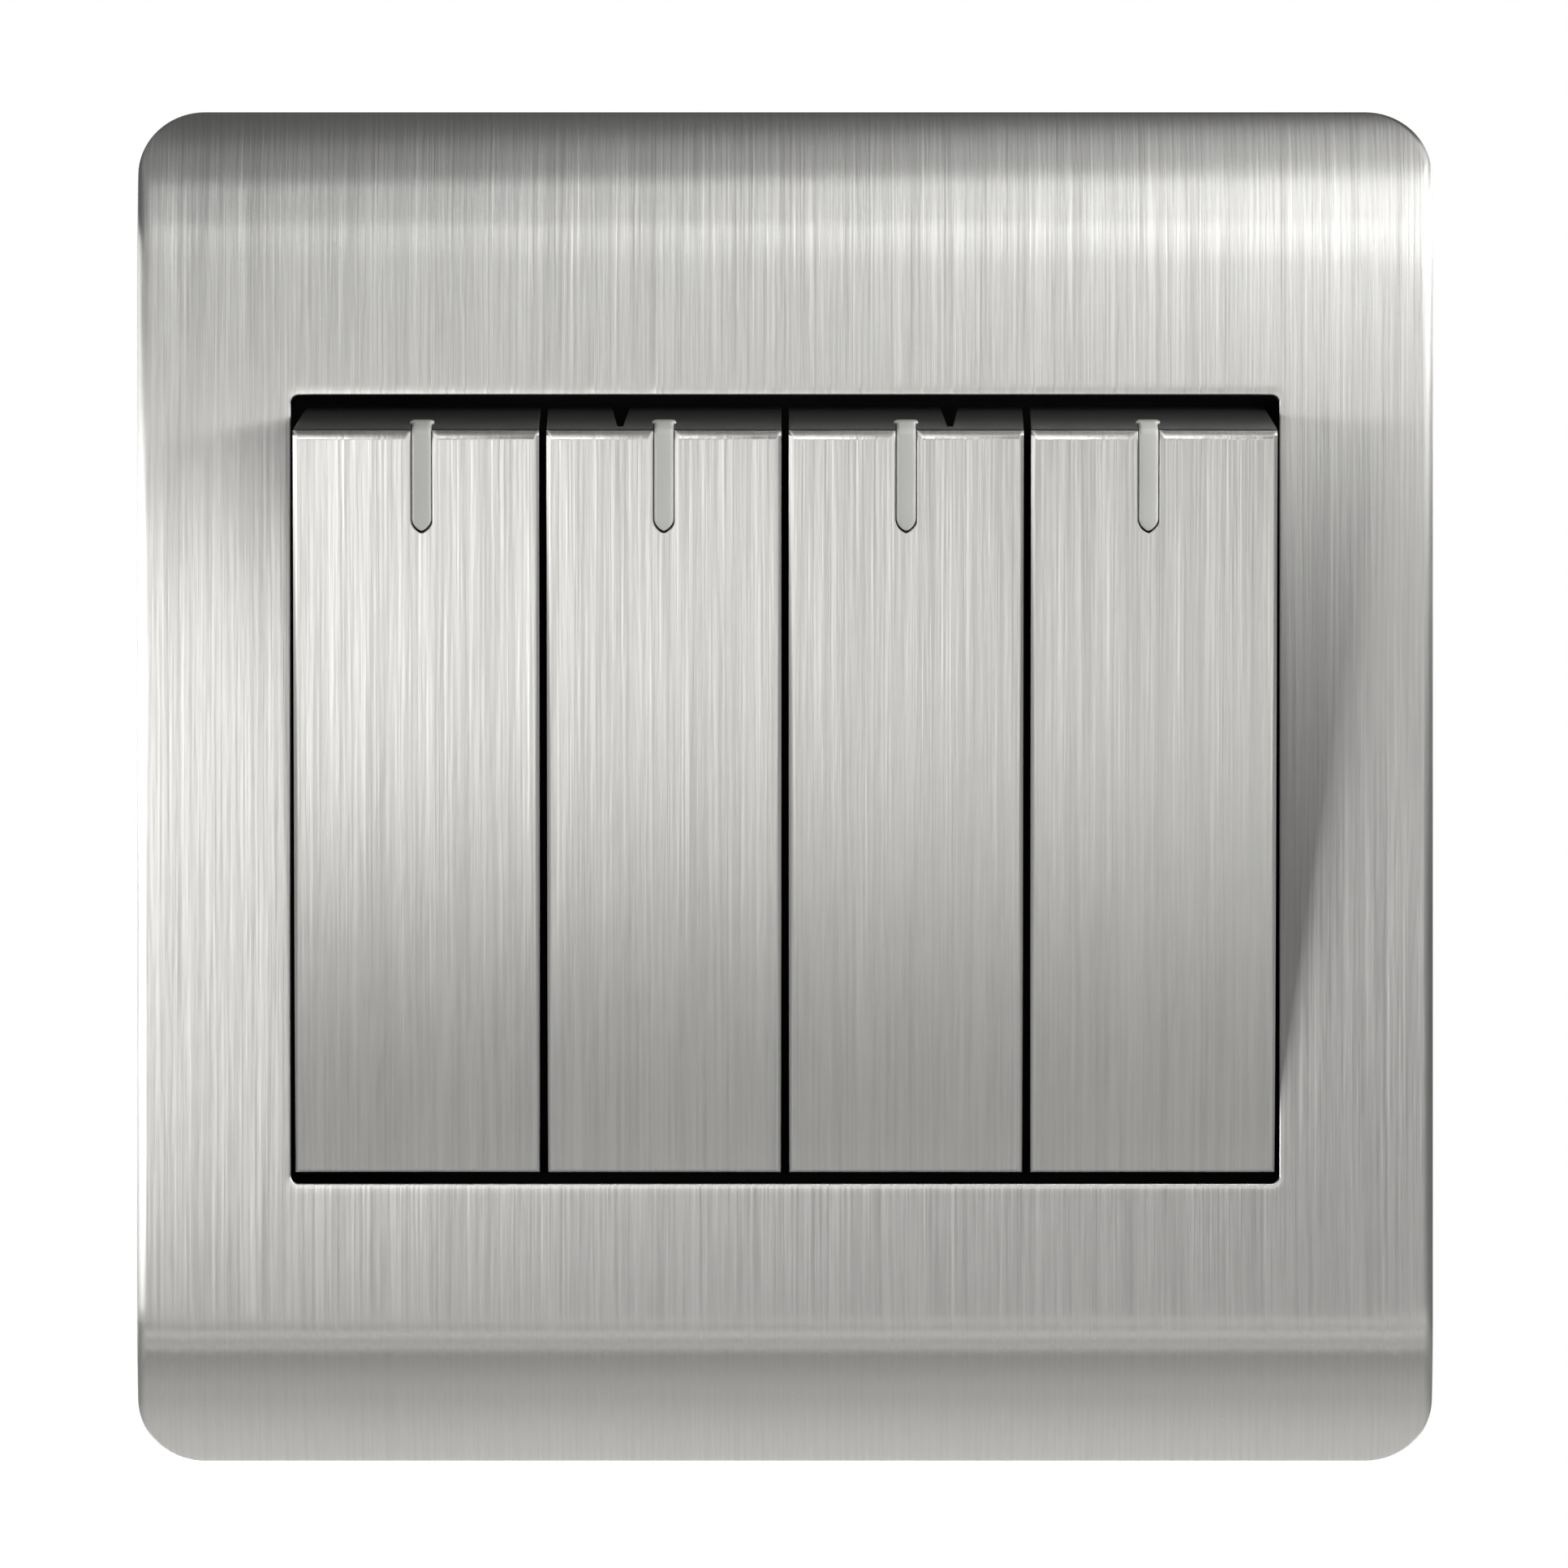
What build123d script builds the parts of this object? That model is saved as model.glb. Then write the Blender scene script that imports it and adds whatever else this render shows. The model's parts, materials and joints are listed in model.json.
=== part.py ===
from build123d import *

import os
from math import asin, cos, radians, sin, sqrt, tan

# Four-gang rocker light switch for a standard 86 mm wall box. Millimetres.
# X runs to the right, Z up, and the front faces -Y. The wall lies in the plane y = 0, and
# the origin is midway between the two fixing screws.

# Steel face plate
plate_width = 86.0
plate_height = 90.0
plate_depth = 8.5  # wall to the flat front
plate_corner = 4.3
plate_sheet = 0.6
plate_fold = 0.7  # rounding all along the front edge
plate_wall_gap = 0.4  # rear edge of the steel to the wall
bend_reach = 10.0  # how far down from its edge the top of the plate is curved
bend_drop = 5.0  # how far that curve falls back
side_band = 10.2  # steel left beside the window
end_band = 18.85  # steel left above and below it
window_corner = 0.55
window_lip = 0.3

# Plastic carrier inside the steel plate
carrier_gap = 0.1
carrier_wall = 1.7
carrier_margin = 0.6  # the carrier's window beyond the steel one, all round
clip_inset = 18.0  # middle of a clip from the plate's side
clip_margin = 8.5  # middle of its blade from the plate's end
clip_width = 6.0
clip_blade = 1.2
clip_barb = 0.7
clip_gap = 0.15
clip_slack = 1.3  # room for the blade to spring back
standoff_inset = 8.0  # from the plate's side
standoff_margin = 12.0  # from its end
standoff_size = 3.0

# Support frame, screwed to the wall box
frame_gap = 0.8  # to the carrier's inner wall
frame_sheet = 1.8
frame_corner = 3.0
frame_ledge = 0.9  # what the clips catch behind
bay_margin = 0.9  # the rocker bay beyond the steel window, all round
tray_wall = 1.4
tray_depth = 1.6  # thickness of the deck behind the rockers
fixing_span = 60.3
fixing_slot = 5.0
fixing_hole = 4.4
ear_reach = 4.7  # the fixing ear, inwards of the fixing centre
ear_height = 13.0
ear_lap = 0.6  # where the ear overlaps the deck
lug_margin = 0.6  # room round the ear for the box's own lug

# Rockers
edge_margin = 0.8  # window's side to the outermost pitch line
rocker_gap = 0.5
rocker_side_gap = 0.3
rocker_end_gap = 0.27
rocker_tilt = 6.0  # each way from level, in degrees
pivot_height = 0.9  # rocker axis ahead of the wall
face_height = 10.0  # front of the steel face ahead of the axis
face_sheet = 0.6
face_round = 0.45
end_slope = 0.15  # spread of the end walls per unit of depth
end_skirt = 3.0  # rear edge of the end walls ahead of the axis
side_skirt = 4.5  # rear edge of the side walls ahead of the axis
rocker_wall = 1.2
outer_draft = 0.65  # how far the outermost sides draw in towards the rear
notch_offset = 10.9  # the two V notches in the inner rockers' upper end walls
notch_mouth = 1.2
notch_root = 0.36
notch_top = 8.6

# Light pipe let into each rocker
pipe_width = 1.3
pipe_length = 6.6
pipe_drop = 3.0  # how far it runs down the end wall
pipe_thick = 0.75
pipe_proud = 0.12
pipe_round = 0.2
pipe_gap = 0.05

# Pivot and plunger
gang_pitch = 14.0
hub_width = 4.4
hub_length = 4.6
rib_width = 1.0
rib_depth = 2.2
trunnion_radius = 1.2
trunnion_length = 1.3
pivot_clearance = 0.05
ear_gap = 0.25
pivot_ear = 1.2
pivot_ear_length = 7.0
pivot_ear_height = 2.6  # ahead of the axis
pivot_neck = 1.9
barrel_length = 6.5  # mouth of the barrel behind the axis
bore_top = 3.0  # blind end of the bore ahead of the axis
plunger_size = 2.6
plunger_tail = 2.0  # inner end of the plunger behind the axis
plunger_neck = 9.6  # where its taper begins behind the axis
plunger_tip = 1.2
plunger_reach = 11.2  # end of the plunger behind the axis
spring_wire = 0.3
spring_turns = 4.0
coil_sides = 6
spring_play = 0.2
spring_seat = 0.03
slot_play = 0.5

# See-saw contact arm
arm_swing = 9.0  # each way from level, in degrees
arm_depth = 12.0  # its axis behind the wall
arm_rise = 1.5  # the plunger's seat ahead of the arm's axis
arm_sheet = 0.8
arm_width = 4.4
arm_length = 17.6
arm_pin = 0.8
contact_margin = 0.8  # middle of a contact from the end of the arm
contact_width = 3.0
contact_length = 2.8
contact_height = 0.9
contact_gap = 0.08  # left between the contacts when they are closed

# Base, terminals and screws
base_width = 53.0
base_height = 54.0
base_depth = 21.0
base_corner = 2.5
base_chamfer = 0.8
base_floor = 2.4
cell_width = 7.2
cell_wall = 1.6
lug_notch = 14.0
core_width = 4.4
core_depth = 12.0
core_length = 16.0
block_width = 6.6
block_height = 7.4
block_depth = 8.0
block_wall = 0.8
block_gap = 0.1
wire_width = 5.2
wire_height = 2.9
entry_margin = 0.3
entry_flare = 0.5
strip_sheet = 0.8
strip_width = 4.4
cradle_sheet = 0.8
cradle_gap = 0.25
cradle_length = 5.0
cradle_rise = 0.4  # the cradle's ears ahead of the arm's axis
leaf_width = 3.6
leaf_sheet = 0.3
leaf_tip = 2.2  # the biting edge behind the front of its block
leaf_gap = 0.4
release_width = 2.6
release_height = 1.2
release_gap = 0.8  # bridge between a wire entry and its release slot
latch_span = 28.0  # the hooks that hold the base to the frame
latch_width = 5.0
latch_blade = 1.1
latch_seat = 7.0  # catch of the hooks behind the wall
latch_barb = 0.8
latch_gap = 0.1

gangs = range(4)
window_width = plate_width - 2 * side_band
window_height = plate_height - 2 * end_band
rocker_pitch = (window_width - 2 * edge_margin) / len(gangs)
clip_span = plate_width - 2 * clip_inset
clip_rise = plate_height - 2 * clip_margin
standoff_span = plate_width - 2 * standoff_inset
standoff_rise = plate_height - 2 * standoff_margin
contact_offset = arm_length / 2 - contact_margin
bend_radius = (bend_reach**2 + bend_drop**2) / (2 * bend_drop)
pivot_y = -pivot_height
cap_height = face_height - face_sheet
ceiling = cap_height - rocker_wall
rocker_sweep = window_height / 2 - rocker_end_gap
skirt_half = sqrt(rocker_sweep**2 - end_skirt**2)
face_half = skirt_half - end_slope * (face_height - end_skirt)
outer_edge = window_width / 2 - rocker_side_gap
frame_inset = plate_sheet + carrier_gap + carrier_wall + frame_gap
bay_width = window_width + 2 * bay_margin
bay_height = window_height + 2 * bay_margin
ear_inner = fixing_span / 2 - ear_reach
bore_size = plunger_size + 2 * pivot_clearance
base_front = tray_depth
cell_floor = base_depth - base_floor
cell_length = base_height - 2 * cell_wall
block_rear = cell_floor - block_gap
block_front = block_rear - block_depth
block_outer = cell_length / 2 - block_gap
latch_inner = base_height / 2 + latch_gap
block_inner = block_outer - block_height
box_height = block_height - 2 * block_wall
box_middle = (block_inner + block_outer) / 2
wire_place = box_middle - box_height / 2 + wire_height / 2
release_place = wire_place + (wire_height + release_height) / 2 + entry_margin + release_gap
leaf_seat = box_middle + box_height / 2 - block_gap


def gang_place(gang):
    """Middle of a gang's mechanism, from left to right."""
    return (gang - (len(gangs) - 1) / 2) * gang_pitch


def pipe_place(gang):
    """Middle of a rocker's light pipe."""
    return (gang - (len(gangs) - 1) / 2) * rocker_pitch


def rocker_sides(gang, draft=0.0):
    """Left and right side of a rocker, with the outermost sides drawn in by the draft."""
    left = (gang - len(gangs) / 2) * rocker_pitch + rocker_gap / 2
    right = (gang + 1 - len(gangs) / 2) * rocker_pitch - rocker_gap / 2
    if gang == gangs[0]:
        left = -outer_edge + draft
    if gang == gangs[-1]:
        right = outer_edge - draft
    return left, right


def end_half(height):
    """Half the length of a rocker at a height ahead of its axis."""
    return skirt_half - end_slope * (height - end_skirt)


def front_plane(y, tilt):
    """A plane facing the front through an axis along X, leaning forward at its top by the tilt."""
    lean = radians(tilt)
    return Plane(origin=(0, y, 0), x_dir=(1, 0, 0), z_dir=(0, -cos(lean), -sin(lean)))


def side_plane(y, tilt):
    """A section plane through the same axis: first up along the lean, then out to the front."""
    lean = radians(tilt)
    return Plane(origin=(0, y, 0), x_dir=(0, -sin(lean), cos(lean)), z_dir=(1, 0, 0))


def formed_blank(inset, rear):
    """The plate's form drawn in all round by the inset: curved top and bottom, rounded corners."""
    radius = bend_radius - inset
    reach = bend_reach - inset
    straight = plate_height / 2 - bend_reach
    centre = plate_depth - bend_radius
    sweep = asin(reach / radius)
    edge = plate_height / 2 - inset
    front = plate_depth - inset
    rim = centre + radius * cos(sweep)
    middle = (-centre - radius * cos(sweep / 2), straight + radius * sin(sweep / 2))
    with BuildPart() as blank:
        with BuildSketch(Plane.YZ.offset(inset - plate_width / 2)):
            with BuildLine():
                Polyline((-rear, 0), (-rear, edge), (-rim, edge))
                ThreePointArc((-rim, edge), middle, (-front, straight))
                Line((-front, straight), (-front, 0))
                mirror(about=Plane.XZ)
            make_face()
        extrude(amount=plate_width - 2 * inset)
        fillet(blank.edges().filter_by(Axis.Y), plate_corner - inset)
    return blank.part


def finish(builder, name):
    """Name a finished piece and write it."""
    builder.part.label = name
    export_step(builder.part, f"parts/{name}.step")


os.makedirs("parts", exist_ok=True)

# Face plate: one drawn sheet, open at the rear, with a lipped window.
plate_outside = formed_blank(0, plate_wall_gap)
plate_inside = formed_blank(plate_sheet, 0)

with BuildPart() as faceplate:
    add(plate_outside)
    outline = faceplate.edges().filter_by(
        lambda e: e.center().Y < -plate_wall_gap
        and abs(e.tangent_at(0.5).Y) < 0.99
        and (abs(e.center().X) > 1 or abs(e.center().Z) > plate_height / 2 - bend_reach / 2)
    )
    fillet(outline, plate_fold)
    add(plate_inside, mode=Mode.SUBTRACT)
    with BuildSketch(Plane.XZ):
        RectangleRounded(window_width, window_height, window_corner)
    extrude(amount=plate_depth, mode=Mode.SUBTRACT)
    chamfer(faceplate.faces().sort_by(Axis.Y)[0].inner_wires().edges(), window_lip)
finish(faceplate, "faceplate")

# Carrier: a plastic lining of the plate, with four clip hooks and four stand-offs.
carrier_inset = plate_sheet + carrier_gap
carrier_outside = formed_blank(carrier_inset, 0)
carrier_inside = formed_blank(carrier_inset + carrier_wall, 0)
web_rear = plate_depth - carrier_inset - carrier_wall
blade_outer = (clip_rise + clip_blade) / 2
blade_inner = (clip_rise - clip_blade) / 2
barb_seat = frame_ledge - clip_gap

with BuildPart() as faceplate_carrier:
    add(carrier_outside)
    add(carrier_inside, mode=Mode.SUBTRACT)
    with BuildSketch(Plane.XZ):
        Rectangle(window_width + 2 * carrier_margin, window_height + 2 * carrier_margin)
    extrude(amount=plate_depth, mode=Mode.SUBTRACT)
    for side in (-1, 1):
        with BuildSketch(Plane.YZ.offset(side * clip_span / 2 - clip_width / 2)) as hook:
            with BuildLine():
                Polyline(
                    (-web_rear, blade_inner),
                    (-clip_gap, blade_inner),
                    (-clip_gap, blade_outer),
                    (-barb_seat / 2, blade_outer + clip_barb),
                    (-barb_seat, blade_outer + clip_barb),
                    (-barb_seat, blade_outer),
                    (-web_rear, blade_outer),
                    close=True,
                )
            make_face()
            mirror(about=Plane.XZ)
        extrude(amount=clip_width)
    with BuildSketch(Plane.XZ.offset(frame_sheet)):
        with GridLocations(standoff_span, standoff_rise, 2, 2):
            Rectangle(standoff_size, standoff_size)
    extrude(amount=web_rear - frame_sheet + carrier_wall / 2)
finish(faceplate_carrier, "faceplate_carrier")

# Support frame: a flange on the wall, a sunk bay with the rocker pivots, and two slotted ears.
frame_width = plate_width - 2 * frame_inset
frame_height = plate_height - 2 * frame_inset
window_outer = blade_outer + clip_gap
window_inner = blade_inner - clip_slack
recess_outer = blade_outer + clip_barb + clip_slack

with BuildPart() as support_frame:
    with BuildSketch(Plane.XZ):
        RectangleRounded(frame_width, frame_height, frame_corner)
    extrude(amount=frame_sheet)
    with BuildSketch(Plane.XZ):
        Rectangle(bay_width + 2 * tray_wall, bay_height + 2 * tray_wall)
    extrude(amount=-tray_depth)
    with BuildSketch(Plane.XZ):
        Rectangle(bay_width, bay_height)
    extrude(amount=frame_sheet, mode=Mode.SUBTRACT)
    for side in (-1, 1):
        ear_outer = bay_width / 2 + tray_wall
        with BuildSketch(Plane.XZ):
            with Locations((side * (ear_inner - ear_lap + ear_outer) / 2, 0)):
                Rectangle(ear_outer - ear_inner + ear_lap, ear_height + 2 * (lug_margin + ear_lap))
        extrude(amount=frame_sheet)
        with BuildSketch(Plane.XZ):
            with Locations((side * (ear_inner + ear_outer) / 2, 0)):
                Rectangle(ear_outer - ear_inner, ear_height + 2 * lug_margin)
        extrude(amount=-tray_depth, mode=Mode.SUBTRACT)
        with BuildSketch(Plane.XZ):
            with Locations((side * fixing_span / 2, 0)):
                SlotOverall(fixing_slot, fixing_hole)
        extrude(amount=frame_sheet, mode=Mode.SUBTRACT)
        for end in (-1, 1):
            with BuildSketch(Plane.XZ):
                with Locations((side * clip_span / 2, end * (window_outer + window_inner) / 2)):
                    Rectangle(clip_width + 2 * clip_gap, window_outer - window_inner)
            extrude(amount=frame_sheet, mode=Mode.SUBTRACT)
            with BuildSketch(Plane.XZ):
                with Locations((side * clip_span / 2, end * (recess_outer + window_inner) / 2)):
                    Rectangle(clip_width + 2 * clip_gap, recess_outer - window_inner)
            extrude(amount=frame_sheet - frame_ledge, mode=Mode.SUBTRACT)
    for gang in gangs:
        inner_side = hub_width / 2 + ear_gap
        for side in (-1, 1):
            ear_middle = gang_place(gang) + side * (inner_side + pivot_ear / 2)
            with BuildSketch(Plane.XZ):
                with Locations((ear_middle, 0)):
                    Rectangle(pivot_ear, pivot_ear_length)
            extrude(amount=pivot_height + pivot_ear_height)
        with BuildSketch(Plane.XZ.offset(-tray_depth)):
            with Locations((gang_place(gang), 0)):
                Rectangle(2 * inner_side, hub_length + 2 * slot_play)
        extrude(amount=tray_depth, mode=Mode.SUBTRACT)
        with BuildSketch(Plane.YZ.offset(gang_place(gang))):
            with Locations((pivot_y, 0)):
                Circle(trunnion_radius + pivot_clearance)
            with Locations((pivot_y - pivot_ear_height, 0)):
                Rectangle(2 * pivot_ear_height, pivot_neck)
        extrude(amount=inner_side + pivot_ear, both=True, mode=Mode.SUBTRACT)
    for side in (-1, 1):
        with BuildSketch(Plane.YZ.offset(side * latch_span / 2 - latch_width / 2)):
            with BuildLine():
                Polyline(
                    (-frame_sheet / 2, latch_inner),
                    (latch_seat, latch_inner),
                    (latch_seat, latch_inner - latch_gap - latch_barb),
                    (latch_seat + latch_barb, latch_inner),
                    (latch_seat + latch_barb + latch_blade, latch_inner),
                    (latch_seat + latch_barb + latch_blade, latch_inner + latch_blade),
                    (-frame_sheet / 2, latch_inner + latch_blade),
                    close=True,
                )
            make_face()
            mirror(about=Plane.XZ)
        extrude(amount=latch_width)
finish(support_frame, "support_frame")

# Base: a moulded case with one deep cell for each gang, closed in front by the frame's deck.
with BuildPart() as rear_base:
    with BuildSketch(Plane.XZ.offset(-base_depth)):
        RectangleRounded(base_width, base_height, base_corner)
    extrude(amount=base_depth - base_front)
    chamfer(rear_base.faces().sort_by(Axis.Y)[-1].edges(), base_chamfer)
    for side in (-1, 1):
        notch_depth = base_width / 2 - ear_inner
        with BuildSketch(Plane.XZ.offset(-base_depth)):
            with Locations((side * (base_width - notch_depth) / 2, 0)):
                Rectangle(notch_depth, lug_notch)
        extrude(amount=base_depth, mode=Mode.SUBTRACT)
    for gang in gangs:
        with BuildSketch(Plane.XZ.offset(-cell_floor)):
            with Locations((gang_place(gang), 0)):
                Rectangle(cell_width, cell_length)
        extrude(amount=cell_floor - base_front, mode=Mode.SUBTRACT)
        with BuildSketch(Plane.XZ.offset(-base_depth)):
            with Locations((gang_place(gang), wire_place), (gang_place(gang), -wire_place)):
                Rectangle(wire_width + 2 * entry_margin, wire_height + 2 * entry_margin)
        extrude(amount=base_floor, mode=Mode.SUBTRACT)
    entries = rear_base.faces().sort_by(Axis.Y)[-1].inner_wires().edges()
    chamfer(entries, entry_flare)
    with BuildSketch(Plane.XZ.offset(-base_depth)):
        with GridLocations(gang_pitch, 2 * release_place, len(gangs), 2):
            Rectangle(release_width, release_height)
    extrude(amount=base_floor, mode=Mode.SUBTRACT)
    with BuildSketch(Plane.XZ.offset(-base_depth)):
        with Locations((-gang_pitch, 0), (0, 0), (gang_pitch, 0)):
            Rectangle(core_width, core_length)
    extrude(amount=core_depth, mode=Mode.SUBTRACT)
    with BuildSketch(Plane.XZ.offset(-latch_seat - latch_barb - latch_gap)):
        with GridLocations(latch_span, base_height, 2, 2):
            Rectangle(latch_width + 2 * latch_gap, 2 * (latch_barb + latch_gap))
    extrude(amount=latch_barb + 2 * latch_gap, mode=Mode.SUBTRACT)
finish(rear_base, "rear_base")

# Wire springs: a bent leaf in each terminal, which bites on the wire pushed in from the rear.
with BuildPart() as wire_springs:
    for gang in gangs:
        with BuildSketch(Plane.YZ.offset(gang_place(gang) - leaf_width / 2)):
            with BuildLine():
                Polyline(
                    (block_rear, leaf_seat),
                    (block_front, leaf_seat),
                    (block_front, leaf_seat - leaf_sheet),
                    (block_rear - 2 * leaf_sheet, leaf_seat - leaf_sheet),
                    (block_front + leaf_tip, wire_place - wire_height / 2 + leaf_gap),
                    (block_front + leaf_tip + 2 * leaf_sheet, wire_place - wire_height / 2 + leaf_gap),
                    close=True,
                )
            make_face()
            mirror(about=Plane.XZ)
        extrude(amount=leaf_width)
finish(wire_springs, "wire_springs")

# Four gangs, from left to right. At rest every rocker leans forward at its top.
rocker_front = front_plane(pivot_y, rocker_tilt)
rocker_side = side_plane(pivot_y, rocker_tilt)
face_axis = Axis(rocker_front.origin, rocker_front.z_dir)
rise_axis = Axis(rocker_front.origin, rocker_front.y_dir)
rocker_end = Plane(origin=rocker_side.origin, x_dir=(1, 0, 0), z_dir=rocker_side.x_dir)
arm_side = side_plane(arm_depth, -arm_swing)
arm_lower = front_plane(arm_depth, -2 * arm_swing)
arm_rear = arm_rise * cos(radians(arm_swing)) - arm_sheet
pin_half = arm_width / 2 + cradle_gap + cradle_sheet
contact_front = arm_depth - arm_rear + contact_height + contact_gap
tongue_front = contact_front + contact_height
cradle_front = arm_depth - cradle_rise
cradle_root = arm_depth + sqrt(2) * (arm_pin + pivot_clearance)
pipe_start = face_half - pipe_length
spring_foot = spring_wire / 2 + spring_seat - plunger_tail
coil_height = bore_top + plunger_tail - spring_wire - 2 * spring_seat
coil_radius = bore_size / 2 - spring_play - spring_wire / 2
coil_steps = round(spring_turns * coil_sides)
coil_points = [
    (
        coil_radius * cos(radians(360 * step / coil_sides)),
        coil_radius * sin(radians(360 * step / coil_sides)),
        coil_height * step / coil_steps,
    )
    for step in range(coil_steps + 1)
]

for gang in gangs:
    number = gang + 1
    middle = gang_place(gang)
    pipe = pipe_place(gang)
    left, right = rocker_sides(gang)
    rear_left, rear_right = rocker_sides(gang, outer_draft)

    # Rocker body: a hollow cap with a hub, two trunnions and the plunger's barrel.
    with BuildPart() as rocker_body:
        with BuildSketch(rocker_front.offset(cap_height)):
            with Locations(((left + right) / 2, 0)):
                Rectangle(right - left, 2 * end_half(cap_height))
        with BuildSketch(rocker_front.offset(end_skirt)):
            with Locations(((rear_left + rear_right) / 2, 0)):
                Rectangle(rear_right - rear_left, 2 * end_half(end_skirt))
        loft()
        with BuildSketch(rocker_front.offset(ceiling)):
            with Locations(((left + right) / 2, 0)):
                Rectangle(right - left - 2 * rocker_wall, 2 * (end_half(ceiling) - rocker_wall))
        with BuildSketch(rocker_front.offset(end_skirt)):
            with Locations(((rear_left + rear_right) / 2, 0)):
                Rectangle(
                    rear_right - rear_left - 2 * rocker_wall, 2 * (end_half(end_skirt) - rocker_wall)
                )
        loft(mode=Mode.SUBTRACT)
        with BuildSketch(rocker_side.offset(left)):
            with Locations((0, (end_skirt + side_skirt) / 2)):
                Rectangle(2 * (end_half(side_skirt) - rocker_wall), side_skirt - end_skirt)
        extrude(amount=right - left, mode=Mode.SUBTRACT)
        with BuildSketch(rocker_front.offset(ceiling)):
            with Locations((middle, 0)):
                Rectangle(rib_width, 2 * (end_half(ceiling) - rocker_wall / 2))
        extrude(amount=-rib_depth)
        with BuildSketch(rocker_front.offset(ceiling)):
            with Locations((middle, 0)):
                Rectangle(hub_width, hub_length)
        extrude(amount=-ceiling - barrel_length)
        with BuildSketch(rocker_side.offset(middle)):
            Circle(trunnion_radius)
        extrude(amount=hub_width / 2 + trunnion_length, both=True)
        with BuildSketch(rocker_front.offset(bore_top)):
            with Locations((middle, 0)):
                Rectangle(bore_size, bore_size)
        extrude(amount=-bore_top - barrel_length, mode=Mode.SUBTRACT)
        with BuildSketch(rocker_side.offset(pipe - pipe_width / 2 - pipe_gap)):
            with BuildLine():
                Polyline(
                    (pipe_start - pipe_gap, face_height),
                    (pipe_start - pipe_gap, face_height - pipe_thick - pipe_gap - pipe_proud),
                    (end_half(face_height) - pipe_thick, face_height - pipe_thick - pipe_gap - pipe_proud),
                    (end_half(face_height - pipe_drop) - pipe_thick, face_height - pipe_drop - pipe_gap),
                    (skirt_half + rocker_wall, face_height - pipe_drop - pipe_gap),
                    (skirt_half + rocker_wall, face_height),
                    close=True,
                )
            make_face()
        extrude(amount=pipe_width + 2 * pipe_gap, mode=Mode.SUBTRACT)
        if gang in gangs[1:-1]:
            notch = notch_offset if middle > 0 else -notch_offset
            with BuildSketch(rocker_end.offset(end_half(notch_top) - rocker_wall)):
                with BuildLine():
                    Polyline(
                        (notch - notch_mouth / 2, -end_skirt),
                        (notch + notch_mouth / 2, -end_skirt),
                        (notch + notch_root / 2, -notch_top),
                        (notch - notch_root / 2, -notch_top),
                        close=True,
                    )
                make_face()
            extrude(amount=3 * rocker_wall, mode=Mode.SUBTRACT)
    finish(rocker_body, f"rocker_body_{number}")

    # Steel face, slotted at its top for the light pipe.
    with BuildPart() as rocker_face:
        with BuildSketch(rocker_front.offset(cap_height)):
            with Locations(((left + right) / 2, 0)):
                Rectangle(right - left, 2 * face_half)
        extrude(amount=face_sheet)
        fillet(rocker_face.faces().sort_by(face_axis)[-1].edges(), face_round)
        with BuildSketch(rocker_front.offset(cap_height)):
            with Locations((pipe, pipe_start + face_half / 2)):
                Rectangle(pipe_width + 2 * pipe_gap, face_half)
            with Locations((pipe, pipe_start + pipe_width / 2)):
                Circle(pipe_width / 2 + pipe_gap)
        extrude(amount=face_sheet, mode=Mode.SUBTRACT)
    finish(rocker_face, f"rocker_face_{number}")

    # Light pipe: an L that follows the face and turns down over its upper edge.
    with BuildPart() as indicator:
        with BuildSketch(rocker_side.offset(pipe - pipe_width / 2)):
            with BuildLine():
                Polyline(
                    (pipe_start, face_height + pipe_proud),
                    (pipe_start, face_height - pipe_thick),
                    (end_half(face_height - pipe_thick) - pipe_thick, face_height - pipe_thick),
                    (end_half(face_height - pipe_drop) - pipe_thick, face_height - pipe_drop),
                    (end_half(face_height - pipe_drop) + pipe_proud, face_height - pipe_drop),
                    (face_half + pipe_proud, face_height + pipe_proud),
                    close=True,
                )
            make_face()
        extrude(amount=pipe_width)
        fillet(indicator.edges().filter_by(face_axis).group_by(rise_axis)[0], pipe_width / 2 - 0.01)
        chamfer(indicator.edges().filter_by(Axis.X).group_by(face_axis)[-1].sort_by(rise_axis)[-1], pipe_round)
    finish(indicator, f"indicator_{number}")

    # Plunger: a square moulded pin with a wedge tip.
    with BuildPart() as plunger:
        with BuildSketch(rocker_side.offset(middle)):
            with BuildLine():
                Polyline(
                    (plunger_tip / 2, -plunger_reach),
                    (plunger_size / 2, -plunger_neck),
                    (plunger_size / 2, -plunger_tail),
                    (0, -plunger_tail),
                )
                Line((plunger_tip / 2, -plunger_reach), (0, -plunger_reach))
                mirror(about=Plane.YZ)
            make_face()
        extrude(amount=plunger_size / 2, both=True)
    finish(plunger, f"plunger_{number}")

    # Coil spring, from the plunger's shoulder to the blind end of the bore.
    with BuildPart() as plunger_spring:
        with BuildLine(rocker_front.offset(spring_foot)) as coil:
            Polyline([(middle + x, y, z) for x, y, z in coil_points])
        with BuildSketch(coil.line ^ 0):
            Rectangle(spring_wire, spring_wire)
        sweep(path=coil.line, transition=Transition.RIGHT)
    finish(plunger_spring, f"plunger_spring_{number}")

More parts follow.
